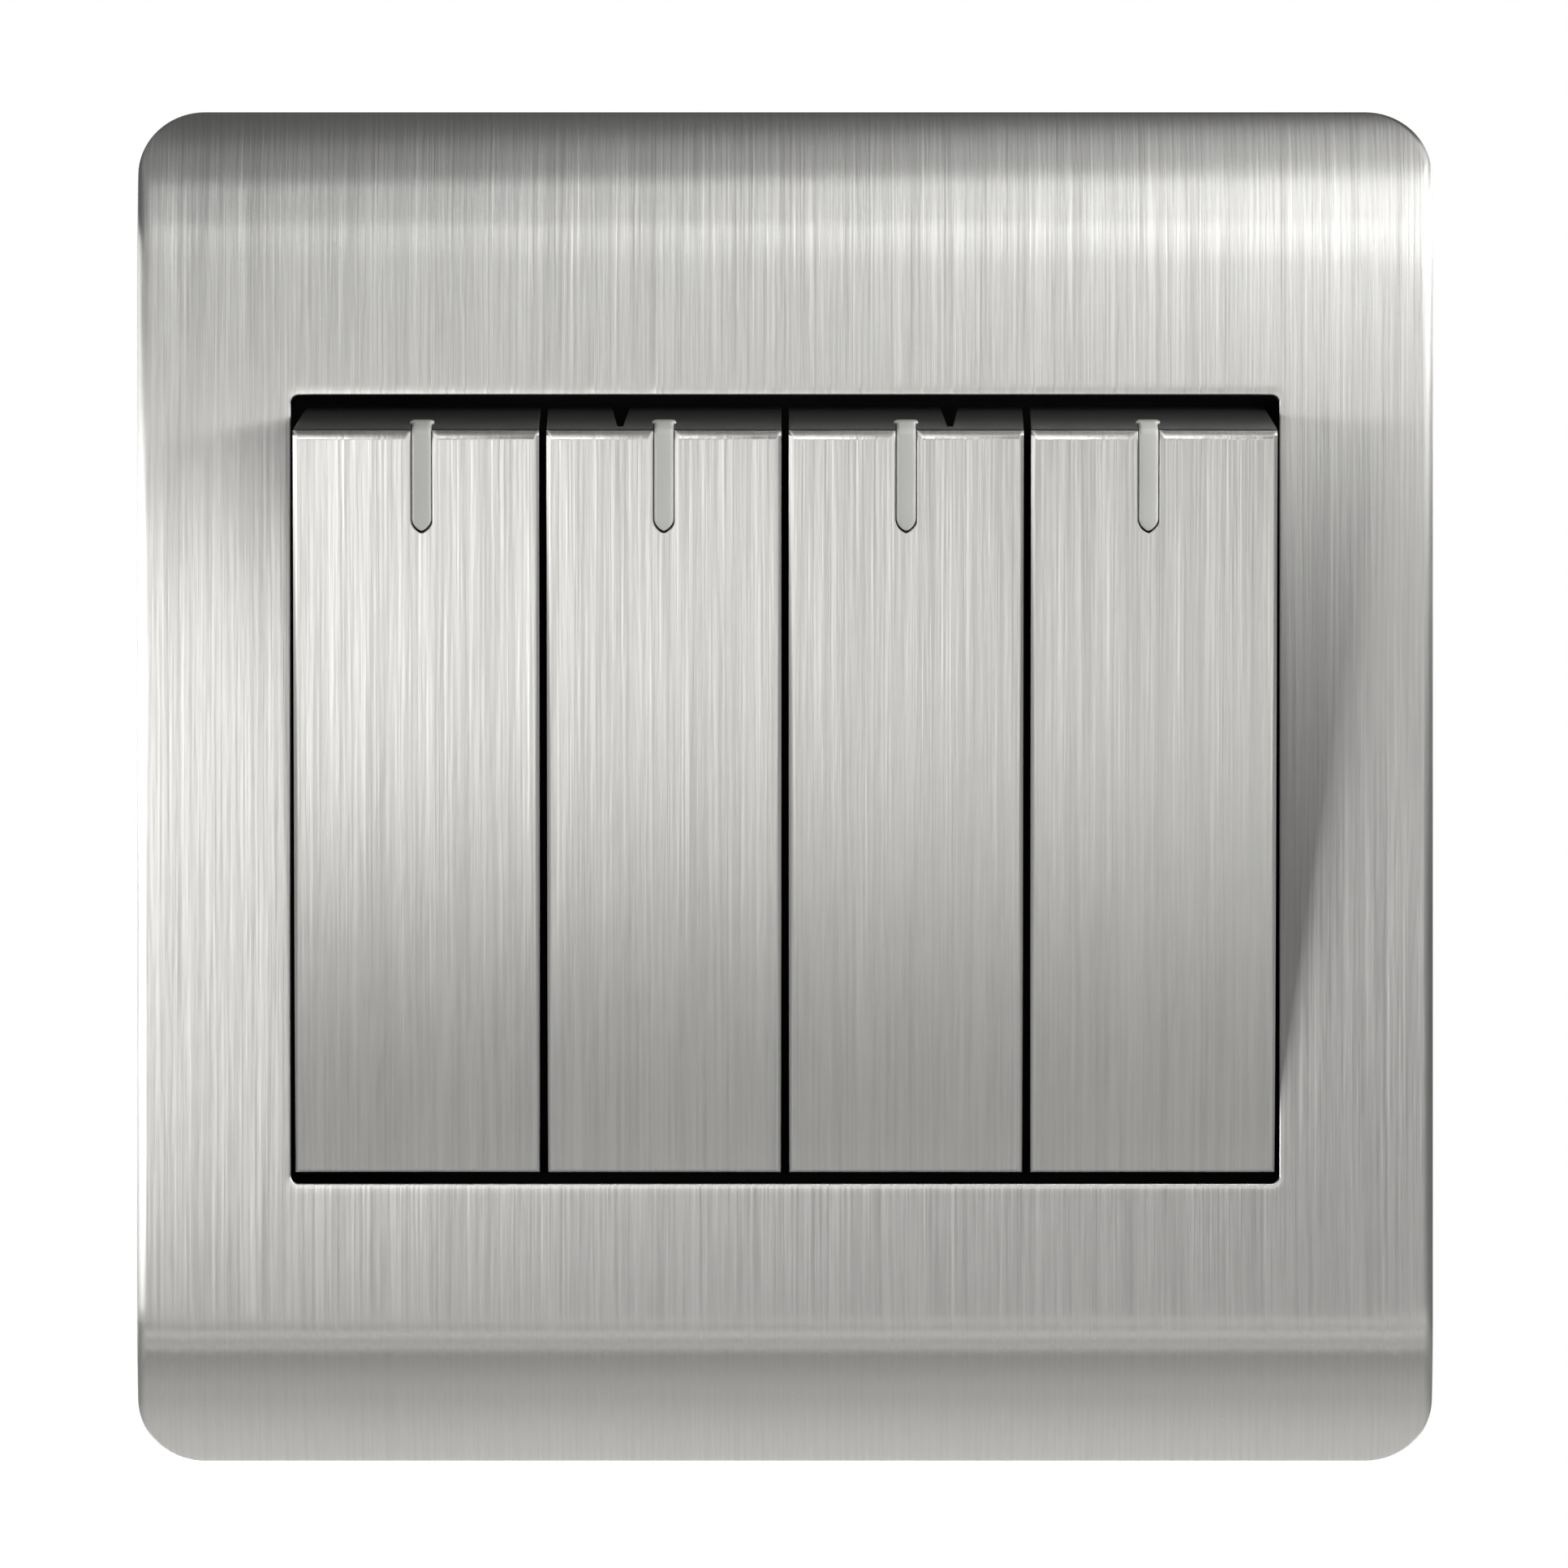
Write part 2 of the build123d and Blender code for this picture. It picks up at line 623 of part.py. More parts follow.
    # Contact arm: a shallow V of copper strip on two pivot pins, with its upper half pressed back.
    half = arm_length / 2
    flank = half * tan(radians(arm_swing))
    rear = arm_rise - arm_sheet / cos(radians(arm_swing))
    with BuildPart() as contact_arm:
        with BuildSketch(arm_side.offset(middle)):
            with BuildLine():
                Polyline((0, rear), (half, rear + flank), (half, arm_rise + flank), (0, arm_rise))
                mirror(about=Plane.YZ)
            make_face()
        extrude(amount=arm_width / 2, both=True)
        with BuildSketch(arm_side.offset(middle)):
            with BuildLine():
                Line((arm_pin, 0), (arm_pin, arm_rise - arm_sheet / 2))
                Line((arm_pin, arm_rise - arm_sheet / 2), (-arm_pin, arm_rise - arm_sheet / 2))
                Line((-arm_pin, arm_rise - arm_sheet / 2), (-arm_pin, 0))
                ThreePointArc((-arm_pin, 0), (0, -arm_pin), (arm_pin, 0))
            make_face()
        extrude(amount=pin_half, both=True)
    finish(contact_arm, f"contact_arm_{number}")

    # Contact tip on the rear of the arm's lower half.
    with BuildPart() as moving_contact:
        with BuildSketch(arm_lower.offset(arm_rear)):
            with Locations((middle, -contact_offset)):
                Rectangle(contact_width, contact_length)
        extrude(amount=-contact_height)
    finish(moving_contact, f"moving_contact_{number}")

    # Common terminal: the upper wire block, a strip along the cell's floor and the arm's cradle.
    with BuildPart() as common_terminal:
        with BuildSketch(Plane.XZ.offset(-block_rear)):
            with Locations((middle, (block_inner + block_outer) / 2)):
                Rectangle(block_width, block_height)
        extrude(amount=block_depth)
        with BuildSketch(Plane.XZ.offset(-block_rear)):
            with Locations((middle, block_inner / 2)):
                Rectangle(strip_width, block_inner)
            with Locations((middle, 0)):
                Rectangle(2 * pin_half, cradle_length)
        extrude(amount=strip_sheet)
        with BuildSketch(Plane.XZ.offset(-block_rear)):
            for side in (-1, 1):
                with Locations((middle + side * (pin_half - cradle_sheet / 2), 0)):
                    Rectangle(cradle_sheet, cradle_length)
        extrude(amount=block_rear - arm_depth + cradle_rise)
        with BuildSketch(Plane.YZ.offset(middle)):
            with BuildLine():
                Polyline((cradle_root, 0), (cradle_front, cradle_root - cradle_front), (cradle_front, 0))
                mirror(about=Plane.XZ)
            make_face()
        extrude(amount=pin_half, both=True, mode=Mode.SUBTRACT)
        with BuildSketch(Plane.XZ.offset(-block_rear)):
            with Locations((middle, box_middle)):
                Rectangle(wire_width, box_height)
        extrude(amount=block_depth, mode=Mode.SUBTRACT)
    finish(common_terminal, f"common_terminal_{number}")

    # Switched terminal: the lower wire block with a tongue under the contact.
    tongue_end = contact_offset - contact_length / 2 - strip_sheet
    with BuildPart() as load_terminal:
        with BuildSketch(Plane.XZ.offset(-block_rear)):
            with Locations((middle, -(block_inner + block_outer) / 2)):
                Rectangle(block_width, block_height)
        extrude(amount=block_depth)
        with BuildSketch(Plane.XZ.offset(-tongue_front)):
            with Locations((middle, -(tongue_end + block_inner) / 2)):
                Rectangle(strip_width, block_inner - tongue_end)
        extrude(amount=-strip_sheet)
        with BuildSketch(Plane.XZ.offset(-block_rear)):
            with Locations((middle, -box_middle)):
                Rectangle(wire_width, box_height)
        extrude(amount=block_depth, mode=Mode.SUBTRACT)
    finish(load_terminal, f"load_terminal_{number}")

    # Contact tip on the tongue.
    with BuildPart() as fixed_contact:
        with BuildSketch(Plane.XZ.offset(-contact_front)):
            with Locations((middle, -contact_offset)):
                Rectangle(contact_width, contact_length)
        extrude(amount=-contact_height)
    finish(fixed_contact, f"fixed_contact_{number}")
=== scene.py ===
import json
import math

import bmesh
import bpy
import numpy as np
from bpy.props import FloatProperty, FloatVectorProperty, IntProperty, PointerProperty
from bpy.types import Operator, Panel, PropertyGroup
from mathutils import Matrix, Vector


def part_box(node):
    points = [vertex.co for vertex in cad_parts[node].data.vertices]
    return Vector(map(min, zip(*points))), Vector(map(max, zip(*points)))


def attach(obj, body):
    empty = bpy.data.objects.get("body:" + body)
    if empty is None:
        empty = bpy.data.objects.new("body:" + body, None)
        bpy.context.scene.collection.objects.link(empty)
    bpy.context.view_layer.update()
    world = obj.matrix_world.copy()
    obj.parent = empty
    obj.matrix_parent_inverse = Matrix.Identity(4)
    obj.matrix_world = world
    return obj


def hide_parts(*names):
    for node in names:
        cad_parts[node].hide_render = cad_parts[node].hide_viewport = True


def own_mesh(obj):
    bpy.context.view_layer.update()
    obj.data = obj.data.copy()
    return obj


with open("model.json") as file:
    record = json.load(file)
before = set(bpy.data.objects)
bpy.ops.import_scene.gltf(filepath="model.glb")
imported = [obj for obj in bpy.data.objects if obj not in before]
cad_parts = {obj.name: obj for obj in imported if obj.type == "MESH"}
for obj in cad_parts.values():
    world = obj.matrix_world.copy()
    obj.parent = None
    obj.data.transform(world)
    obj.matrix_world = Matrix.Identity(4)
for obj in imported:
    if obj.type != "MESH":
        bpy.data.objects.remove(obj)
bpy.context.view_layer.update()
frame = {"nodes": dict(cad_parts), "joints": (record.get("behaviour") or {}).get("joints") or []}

bl_info = {
    "name": "Four-gang light switch",
    "version": (1, 0, 0),
    "blender": (4, 5, 0),
    "location": "View3D > Sidebar > Light switch",
    "description": "Dresses a brushed steel four-gang rocker switch and sets its studio",
    "category": "Object",
}

MM = 0.001
GANGS = [n + 1 for n in range(sum(name.startswith("rocker_face_") for name in frame["nodes"]))]
PLATE_LOW, PLATE_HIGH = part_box("faceplate")
TILT_JOINT = next(j for j in frame["joints"] if j["name"] == "rocker_1_tilt")
UV_NAME = "sheet"
EDGE_NAME = "edge_polish"

# How far the plate's lip and rear rim count as polished edges. A rounding at the front counts in full.
LIP_POLISH, RIM_POLISH = 0.6, 0.8
# The plate's arc is followed up to this share of its radius, just short of its upright tangent.
ARC_LIMIT = 0.999
# The front's slope at the fold is read at this share of the outline's height.
SLOPE_SHARE = 0.997
# Points along each stretch of the plate's section, in the order in which its rings follow one another.
PLATE_STEPS = {
    "lip wall": 3,
    "lip rounding": 6,
    "lip band": 4,
    "front": 45,
    "fold": 11,
    "skirt": 5,
    "rim": 7,
    "inner skirt": 5,
    "inner fold": 5,
    "inside": 21,
}
# Round a cap: the length over which its rounding changes by a corner, the points of its slot's tip and of
# its rounding, the tip's reach over its half width, and how far the brushing runs on over the edge.
CAP_EASE = 0.35 * MM
TIP_STEPS, CAP_STEPS = 25, 9
TIP_REACH = 1.12
EDGE_RUN = 0.5
# Along a light pipe: its nose's length over its width, the angle at which the nose starts and how far it
# sinks, the points of nose, straight, bend and rounded edge, and where the rings lie down the end wall.
NOSE_LENGTH, NOSE_START, NOSE_SINK = 0.58, 0.06, 0.5
NOSE_STEPS, STRAIGHT_STEPS, BEND_STEPS, ROUND_STEPS = 12, 8, 10, 6
TAIL_SHARES = (0.3, 0.6, 0.78, 0.8, 1.0)
# Points round one turn of a coil and round its wire.
COIL_STEPS, WIRE_STEPS = 32, 12
# Mouldings: points this near are one, faces this flat are one, edges this sharp are rounded, by these widths.
MERGE_DISTANCE = 0.001 * MM
FLAT_ANGLE, SHARP_ANGLE = math.radians(0.5), math.radians(28)
BEVEL_STEPS, FACE_WEIGHT = 2, 80
ROCKER_EDGE, HOUSING_EDGE = 0.12 * MM, 0.15 * MM
# Brushed grain: each band's stretch across, along and through the noise, then its shares of tone and height.
FINE_BAND, BROAD_BAND = (1.0, 1.0, 1.0), (0.19, 0.55, 1.0)
SHORT_BAND, CLOUD_BAND = (1.3, 7.0, 1.0), (0.02, 0.3, 1.0)
BROAD_TONE, SHORT_TONE, TONE_RANGE = 0.2, 0.35, (0.58, 0.97)
BROAD_HEIGHT, SHORT_HEIGHT = 1.2, 0.2
# One lattice cell in four holds a speck.
SPECK_CHANCE = 0.25
# Brushed steel: strands per millimetre, their length, roughness from dark to bright strands, depth of the
# brushing, how dull a cap's edge is worn, and how far the noise moves on from one cap to the next.
STRANDS, STRAND_LENGTH = 3.9, 26.0
STEEL_ROUGHNESS = (0.33, 0.39)
PLATE_BRUSHING, CAP_BRUSHING = 0.048 * MM, 0.07 * MM
CAP_WEAR, CAP_SEED = 0.3, 3.7
# Moulded plastic: flow marks in tone and gloss. Rolled metal: its darkest clouds and its spread of gloss.
FLOW_TONE, FLOW_GLOSS = 0.14, 0.05
CLOUD_TONE, DULLER, GLOSSIER = 0.72, 0.08, 0.05
# Half the side of the floor in metres, and the camera's sensor in millimetres.
FLOOR_HALF = 4.0
SENSOR = 36.0


def length(name, description, default, **limits):
    """A length in metres, shown in the scene's own unit."""
    return FloatProperty(
        name=name,
        description=description,
        default=default,
        min=0.0,
        precision=5,
        subtype="DISTANCE",
        unit="LENGTH",
        **limits,
    )


def tint(name, description, default):
    """A linear colour."""
    return FloatVectorProperty(
        name=name, description=description, default=default, min=0.0, max=1.0, subtype="COLOR", size=3
    )


class PlateSizes(PropertyGroup):
    """Sizes of the formed steel plate."""

    width: length("Width", "Plate from side to side", PLATE_HIGH.x - PLATE_LOW.x)
    height: length("Height", "Plate from top to bottom", PLATE_HIGH.z - PLATE_LOW.z)
    depth: length("Depth", "Wall to the flat front", -PLATE_LOW.y)
    wall_gap: length("Wall gap", "Rear edge of the steel to the wall", -PLATE_HIGH.y)
    corner: length("Corner", "Radius of the four corners", 4.3 * MM)
    fold: length("Fold", "Rounding along the front edge", 0.7 * MM)
    sheet: length("Sheet", "Thickness of the steel", 0.6 * MM)
    bend_reach: length("Bend reach", "How far in from the ends the front is curved", 10.0 * MM)
    bend_drop: length("Bend drop", "How far that curve falls back", 5.0 * MM)
    window_width: length("Window width", "Opening from side to side", 65.6 * MM)
    window_height: length("Window height", "Opening from top to bottom", 52.3 * MM)
    window_corner: length("Window corner", "Radius of the opening's corners", 0.55 * MM)
    window_lip: length("Window lip", "Coined band round the opening", 0.34 * MM)
    lip_round: length("Lip rounding", "Rounding of the opening's front edge", 0.1 * MM)
    lip_slope: FloatProperty(
        name="Lip slope",
        description="Lean of the coined band",
        default=math.radians(6.0),
        subtype="ANGLE",
        unit="ROTATION",
    )
    window_drop: length("Window drop", "Middle of the opening below the plate's", 0.16 * MM)
    corner_steps: IntProperty(name="Corner steps", description="Steps round one corner", default=18, min=4)
    side_steps: IntProperty(name="Side steps", description="Steps along one side", default=90, min=8)


class RockerSizes(PropertyGroup):
    """Sizes of the steel caps and their light pipes, square to the tilted rocker."""

    axis_y: FloatProperty(
        name="Axis", description="Rocker axis, front to back", default=TILT_JOINT["pos_m"][1], unit="LENGTH"
    )
    tilt: FloatProperty(
        name="Tilt",
        description="Lean of a rocker at rest",
        default=math.radians(TILT_JOINT["range_deg"][1] / 2),
        subtype="ANGLE",
        unit="ROTATION",
    )
    face_height: length("Face height", "Front of the steel ahead of the axis", 10.0 * MM)
    sheet: length("Sheet", "Thickness of the cap", 0.6 * MM)
    top_round: length("Top rounding", "Rounding of the cap's upper edge", 0.58 * MM)
    edge_round: length("Edge rounding", "Rounding of its other edges", 0.27 * MM)
    slot_round: length("Slot rounding", "Rounding round the light pipe", 0.09 * MM)
    pipe_pitch: length("Pipe pitch", "From one light pipe to the next", 16.0 * MM)
    pipe_width: length("Pipe width", "Light pipe from side to side", 1.3 * MM)
    pipe_length: length("Pipe length", "Light pipe along the face", 6.6 * MM)
    pipe_drop: length("Pipe drop", "Light pipe down the end wall", 3.0 * MM)
    pipe_thick: length("Pipe thickness", "Light pipe through the steel", 0.75 * MM)
    pipe_proud: length("Pipe proud", "How far the pipe stands out of the steel", 0.12 * MM)
    pipe_round: length("Pipe rounding", "Rounding of the pipe's front edges", 0.26 * MM)
    pipe_bend: length("Pipe bend", "Radius where it turns over the edge", 0.45 * MM)
    pipe_gap: length("Pipe gap", "Dark line between pipe and steel", 0.05 * MM)
    pipe_point: FloatProperty(
        name="Pipe point", description="Roundness of the tip, 2 for an ellipse", default=1.6
    )
    pipe_head: FloatProperty(
        name="Pipe head", description="Width of the head over the pipe's own", default=1.3
    )
    end_slope: FloatProperty(
        name="End slope", description="Spread of the end wall per unit of depth", default=0.15
    )


class SpringSizes(PropertyGroup):
    """Sizes of the coil springs behind the plungers, square to the tilted rocker."""

    foot: length("Foot", "Plunger's inner end behind the rocker's axis", 2.0 * MM)
    head: length("Head", "Blind end of the bore ahead of the axis", 3.0 * MM)
    seat: length("Seat", "Room at each end of the coil", 0.03 * MM)
    radius: length("Radius", "Middle of the wire from the coil's own axis", 1.04 * MM)
    wire: length("Wire", "Thickness of the wire", 0.3 * MM)
    turns: FloatProperty(name="Turns", description="Turns of the coil", default=4.5, min=1.0)


class Finishes(PropertyGroup):
    """Colours of the finishes."""

    steel_light: tint("Steel, light", "Bright strands of the brushed steel", (0.835, 0.827, 0.803))
    steel_dark: tint("Steel, dark", "Dark strands of the brushed steel", (0.74, 0.732, 0.71))
    rocker_plastic: tint("Rocker plastic", "Satin dark grey moulding", (0.035, 0.0345, 0.034))
    carrier_plastic: tint("Carrier plastic", "Moulding behind the plate", (0.012, 0.012, 0.012))
    frame_plastic: tint("Frame plastic", "Support frame", (0.016, 0.016, 0.017))
    base_plastic: tint("Base plastic", "Case of the mechanism", (0.033, 0.033, 0.036))
    light_pipe: tint("Light pipe", "Milky light pipe", (0.60, 0.605, 0.575))
    nylon: tint("Nylon", "Plungers", (0.69, 0.67, 0.6))
    brass: tint("Brass", "Terminals", (0.62, 0.41, 0.13))
    copper: tint("Copper", "Contact arms", (0.6, 0.24, 0.12))
    silver: tint("Silver", "Contacts", (0.75, 0.74, 0.71))
    spring: tint("Spring steel", "Springs", (0.34, 0.34, 0.35))


class StageSettings(PropertyGroup):
    """Camera, floor and light."""

    camera_distance: length("Camera distance", "Camera to the front of the plate", 0.95)
    frame_width: length("Frame width", "Width of the picture at the plate", 104.0 * MM)
    aim_x: FloatProperty(
        name="Aim X", description="Picture middle, sideways", default=-0.07 * MM, unit="LENGTH"
    )
    aim_z: FloatProperty(name="Aim Z", description="Picture middle, up", default=0.2 * MM, unit="LENGTH")
    floor_drop: length("Floor drop", "Plate's lower edge to the floor", 300.0 * MM)
    floor_tint: tint("Floor", "Pale floor", (0.8, 0.8, 0.79))
    floor_glow: FloatProperty(
        name="Floor glow", description="Light the floor gives the part", default=0.12, min=0.0
    )
    floor_seen: FloatProperty(
        name="Floor seen", description="Glow of the floor as the camera sees it", default=1.05, min=0.0
    )
    ambient: FloatProperty(name="Ambient", description="Strength of the room's light", default=0.12, min=0.0)


class SwitchSettings(PropertyGroup):
    """Everything that a user would change."""

    plate: PointerProperty(type=PlateSizes)
    rocker: PointerProperty(type=RockerSizes)
    spring: PointerProperty(type=SpringSizes)
    finish: PointerProperty(type=Finishes)
    stage: PointerProperty(type=StageSettings)


# Surfaces


def rounded_rectangle(width, height, radius, corner_steps, side_steps):
    """Closed outline in the plate's plane, turning from right over top to left, and its outward normals.
    Corner k is centre_k + radius (cos a, sin a) for a from 90 k to 90 (k + 1) degrees, and a side runs
    straight from one corner's end to the next one's start."""
    k = np.arange(4)[:, None]
    a = (k + np.linspace(0.0, 1.0, corner_steps + 1)[None]) * math.pi / 2
    sign = np.array([(1, 1), (-1, 1), (-1, -1), (1, -1)])[:, None]
    centre = sign * np.array([width / 2 - radius, height / 2 - radius])
    normal = np.stack([np.cos(a), np.sin(a)], -1)
    corner = centre + radius * normal
    t = (np.arange(1, side_steps) / side_steps)[None, :, None]
    side = corner[:, -1:] * (1 - t) + np.roll(corner, -1, 0)[:, :1] * t
    side_normal = np.broadcast_to(normal[:, -1:], side.shape)
    points = np.concatenate([corner, side], 1).reshape(-1, 2)
    return points, np.concatenate([normal, side_normal], 1).reshape(-1, 2)


def plate_front(z, sizes, inset=0.0):
    """Depth of the front at a height z: flat, then an arc of radius R about a line behind the plate, so that
    y = c - sqrt((R - inset)^2 - (|z| - straight)^2). Also its slope dy/d|z| and the length along it from
    z = 0."""
    reach, drop = sizes.bend_reach, sizes.bend_drop
    radius = (reach**2 + drop**2) / (2 * drop)
    straight = sizes.height / 2 - reach
    over = np.clip(np.abs(z) - straight, 0.0, (radius - inset) * ARC_LIMIT)
    rise = np.sqrt((radius - inset) ** 2 - over**2)
    y = radius - sizes.depth - rise
    run = np.minimum(np.abs(z), straight) + radius * np.arcsin(np.clip(over / radius, 0, 1))
    return y, over / rise, np.sign(z) * run


def plate_surface(sizes):
    """The plate as one closed skin: rings round the window, each a rounded rectangle, carried from the
    window's lip over the curved front, round the fold, down the skirt, round the rear rim and back inside. At
    the fold, of radius r, the section turns about one centre from the front's own slope to the wall: ring a
    lies r (1 - sin a) inside the outline and r cos a ahead of that centre."""
    inner, inner_normal = rounded_rectangle(
        sizes.window_width, sizes.window_height, sizes.window_corner, sizes.corner_steps, sizes.side_steps
    )
    outer, outer_normal = rounded_rectangle(
        sizes.width, sizes.height, sizes.corner, sizes.corner_steps, sizes.side_steps
    )
    inner = inner - [0.0, sizes.window_drop]
    sheet, lip, fold = sizes.sheet, sizes.window_lip, sizes.fold
    slope = plate_front(outer[:, 1] * SLOPE_SHARE, sizes)[1] * np.abs(outer_normal[:, 1])
    lean = np.arctan(slope)
    touch = outer - outer_normal * (fold * (1 - np.sin(lean)))[:, None]
    centre_y = plate_front(touch[:, 1], sizes)[0] + fold * np.cos(lean)
    rings, marks, edges = [], [], []

    def ring(plan, y, mark, edge):
        """Keep one ring of points, its place on the flat sheet and how far it belongs to an edge."""
        rings.append(np.column_stack([plan[:, 0], np.broadcast_to(y, len(plan)), plan[:, 1]]))
        marks.append(mark)
        edges.append(np.full(len(plan), edge))

    def sheet_mark(plan):
        """Place on the flat sheet: across the brushing, and along it up the curved front."""
        return np.column_stack([plan[:, 0], plate_front(plan[:, 1], sizes)[2]])

    def steps(stretch, first=0.0, last=1.0):
        """Even steps along one stretch of the section."""
        return np.linspace(first, last, PLATE_STEPS[stretch])

    lip_start = inner + inner_normal * lip
    lip_mark = sheet_mark(lip_start)
    lean_in = math.pi / 2 - sizes.lip_slope
    brow = sizes.lip_round * (1 - math.cos(lean_in))
    fall = (lip - brow) * math.tan(sizes.lip_slope)
    lip_centre = fall + sizes.lip_round * math.sin(lean_in) - sizes.depth
    for y in steps("lip wall", sheet - sizes.depth, lip_centre)[:-1]:
        ring(inner, y, lip_mark - inner_normal * (lip + y - lip_centre), LIP_POLISH)
    for a in steps("lip rounding", 0.0, lean_in):
        plan = inner + inner_normal * sizes.lip_round * (1 - math.cos(a))
        y = lip_centre - sizes.lip_round * math.sin(a)
        ring(plan, y, lip_mark - inner_normal * (lip - sizes.lip_round * (1 - math.cos(a))), 1.0)
    for t in steps("lip band")[1:-1]:
        run = brow + (lip - brow) * t
        mark = lip_mark - inner_normal * (lip - run)
        ring(inner + inner_normal * run, fall * (1 - t) - sizes.depth, mark, LIP_POLISH)
    for t in steps("front")[:-1]:
        plan = lip_start * (1 - t) + touch * t
        ring(plan, plate_front(plan[:, 1], sizes)[0], sheet_mark(plan), 0.0)
    touch_mark = sheet_mark(touch)
    for t in steps("fold"):
        a = lean + (math.pi / 2 - lean) * t
        plan = outer - outer_normal * (fold * (1 - np.sin(a)))[:, None]
        run = (fold * (a - lean))[:, None]
        ring(plan, centre_y - fold * np.cos(a), touch_mark + outer_normal * run, math.sin(math.pi * t))
    turned = (fold * (math.pi / 2 - lean))[:, None]
    rear = -sizes.wall_gap
    rim = sheet / 2
    for t in steps("skirt")[1:]:
        y = centre_y + (rear - rim - centre_y) * t
        ring(outer, y, touch_mark + outer_normal * (turned + (y - centre_y)[:, None]), 0.0)
    foot = touch_mark + outer_normal * (turned + (rear - rim - centre_y)[:, None])
    for a in steps("rim", 0.0, math.pi)[1:-1]:
        plan = outer - outer_normal * (rim - rim * math.cos(a))
        ring(plan, rear - rim + rim * math.sin(a), foot + outer_normal * rim * a, RIM_POLISH)
    hem = outer - outer_normal * sheet
    for t in steps("inner skirt"):
        y = (rear - rim) * (1 - t) + centre_y * t
        run = rim * math.pi + (rear - rim - y)[:, None]
        ring(hem, y, foot + outer_normal * run, 0.0)
    bore = fold - sheet
    for t in steps("inner fold")[1:]:
        a = math.pi / 2 + (lean - math.pi / 2) * t
        plan = outer - outer_normal * (fold - bore * np.sin(a))[:, None]
        run = (fold * (a - lean))[:, None]
        ring(plan, centre_y - bore * np.cos(a), touch_mark + outer_normal * run, 0.0)
    last = rings[-1][:, [0, 2]]
    for t in steps("inside")[1:-1]:
        plan = last * (1 - t) + inner * t
        ring(plan, plate_front(plan[:, 1], sizes, sheet)[0], sheet_mark(plan), 0.0)
    return np.array(rings), np.array(marks), np.array(edges)


def skin(name, points, marks, edges, ends=False):
    """A mesh object from rings of points: each ring is closed, and the rings close on the first one, or with
    a flat face at both ends. Marks become the UV map in millimetres, edges a point attribute."""
    count, around = points.shape[:2]
    index = np.arange(count * around).reshape(count, around)
    low = index[:-1] if ends else index
    high = index[1:] if ends else np.roll(index, -1, 0)
    quads = np.stack([low, high, np.roll(high, -1, 1), np.roll(low, -1, 1)], -1).reshape(-1, 4)
    faces = quads.tolist()
    if ends:
        faces += [index[0].tolist(), index[-1][::-1].tolist()]
    mesh = bpy.data.meshes.new(name)
    mesh.from_pydata(points.reshape(-1, 3).tolist(), [], faces)
    smooth = np.ones(len(faces), bool)
    if ends:
        smooth[-2:] = False
    mesh.polygons.foreach_set("use_smooth", smooth)
    corners = np.zeros(len(mesh.loops), np.int32)
    mesh.loops.foreach_get("vertex_index", corners)
    layer = mesh.uv_layers.new(name=UV_NAME)
    layer.data.foreach_set("uv", (marks.reshape(-1, 2)[corners] / MM).astype(np.float32).ravel())
    attribute = mesh.attributes.new(EDGE_NAME, "FLOAT", "POINT")
    attribute.data.foreach_set("value", edges.ravel().astype(np.float32))
    mesh.validate()
    piece = bpy.data.objects.new(name, mesh)
    bpy.context.scene.collection.objects.link(piece)
    return piece


def lean_place(sizes, x, up, out):
    """From a rocker's own sides, up along the lean and out to the front, to the frame at rest."""
    c, s = math.cos(sizes.tilt), math.sin(sizes.tilt)
    return np.stack([x, sizes.axis_y - out * c - up * s, up * c - out * s], -1)


def cap_half(sizes, node):
    """Half the length of a rocker's steel cap, from its CAD box."""
    low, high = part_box(node)
    return (high.z - low.z) / 2 / math.cos(sizes.tilt)


def pipe_middle(sizes, number):
    """Middle of a gang's light pipe, sideways."""
    return (number - (len(GANGS) + 1) / 2) * sizes.pipe_pitch


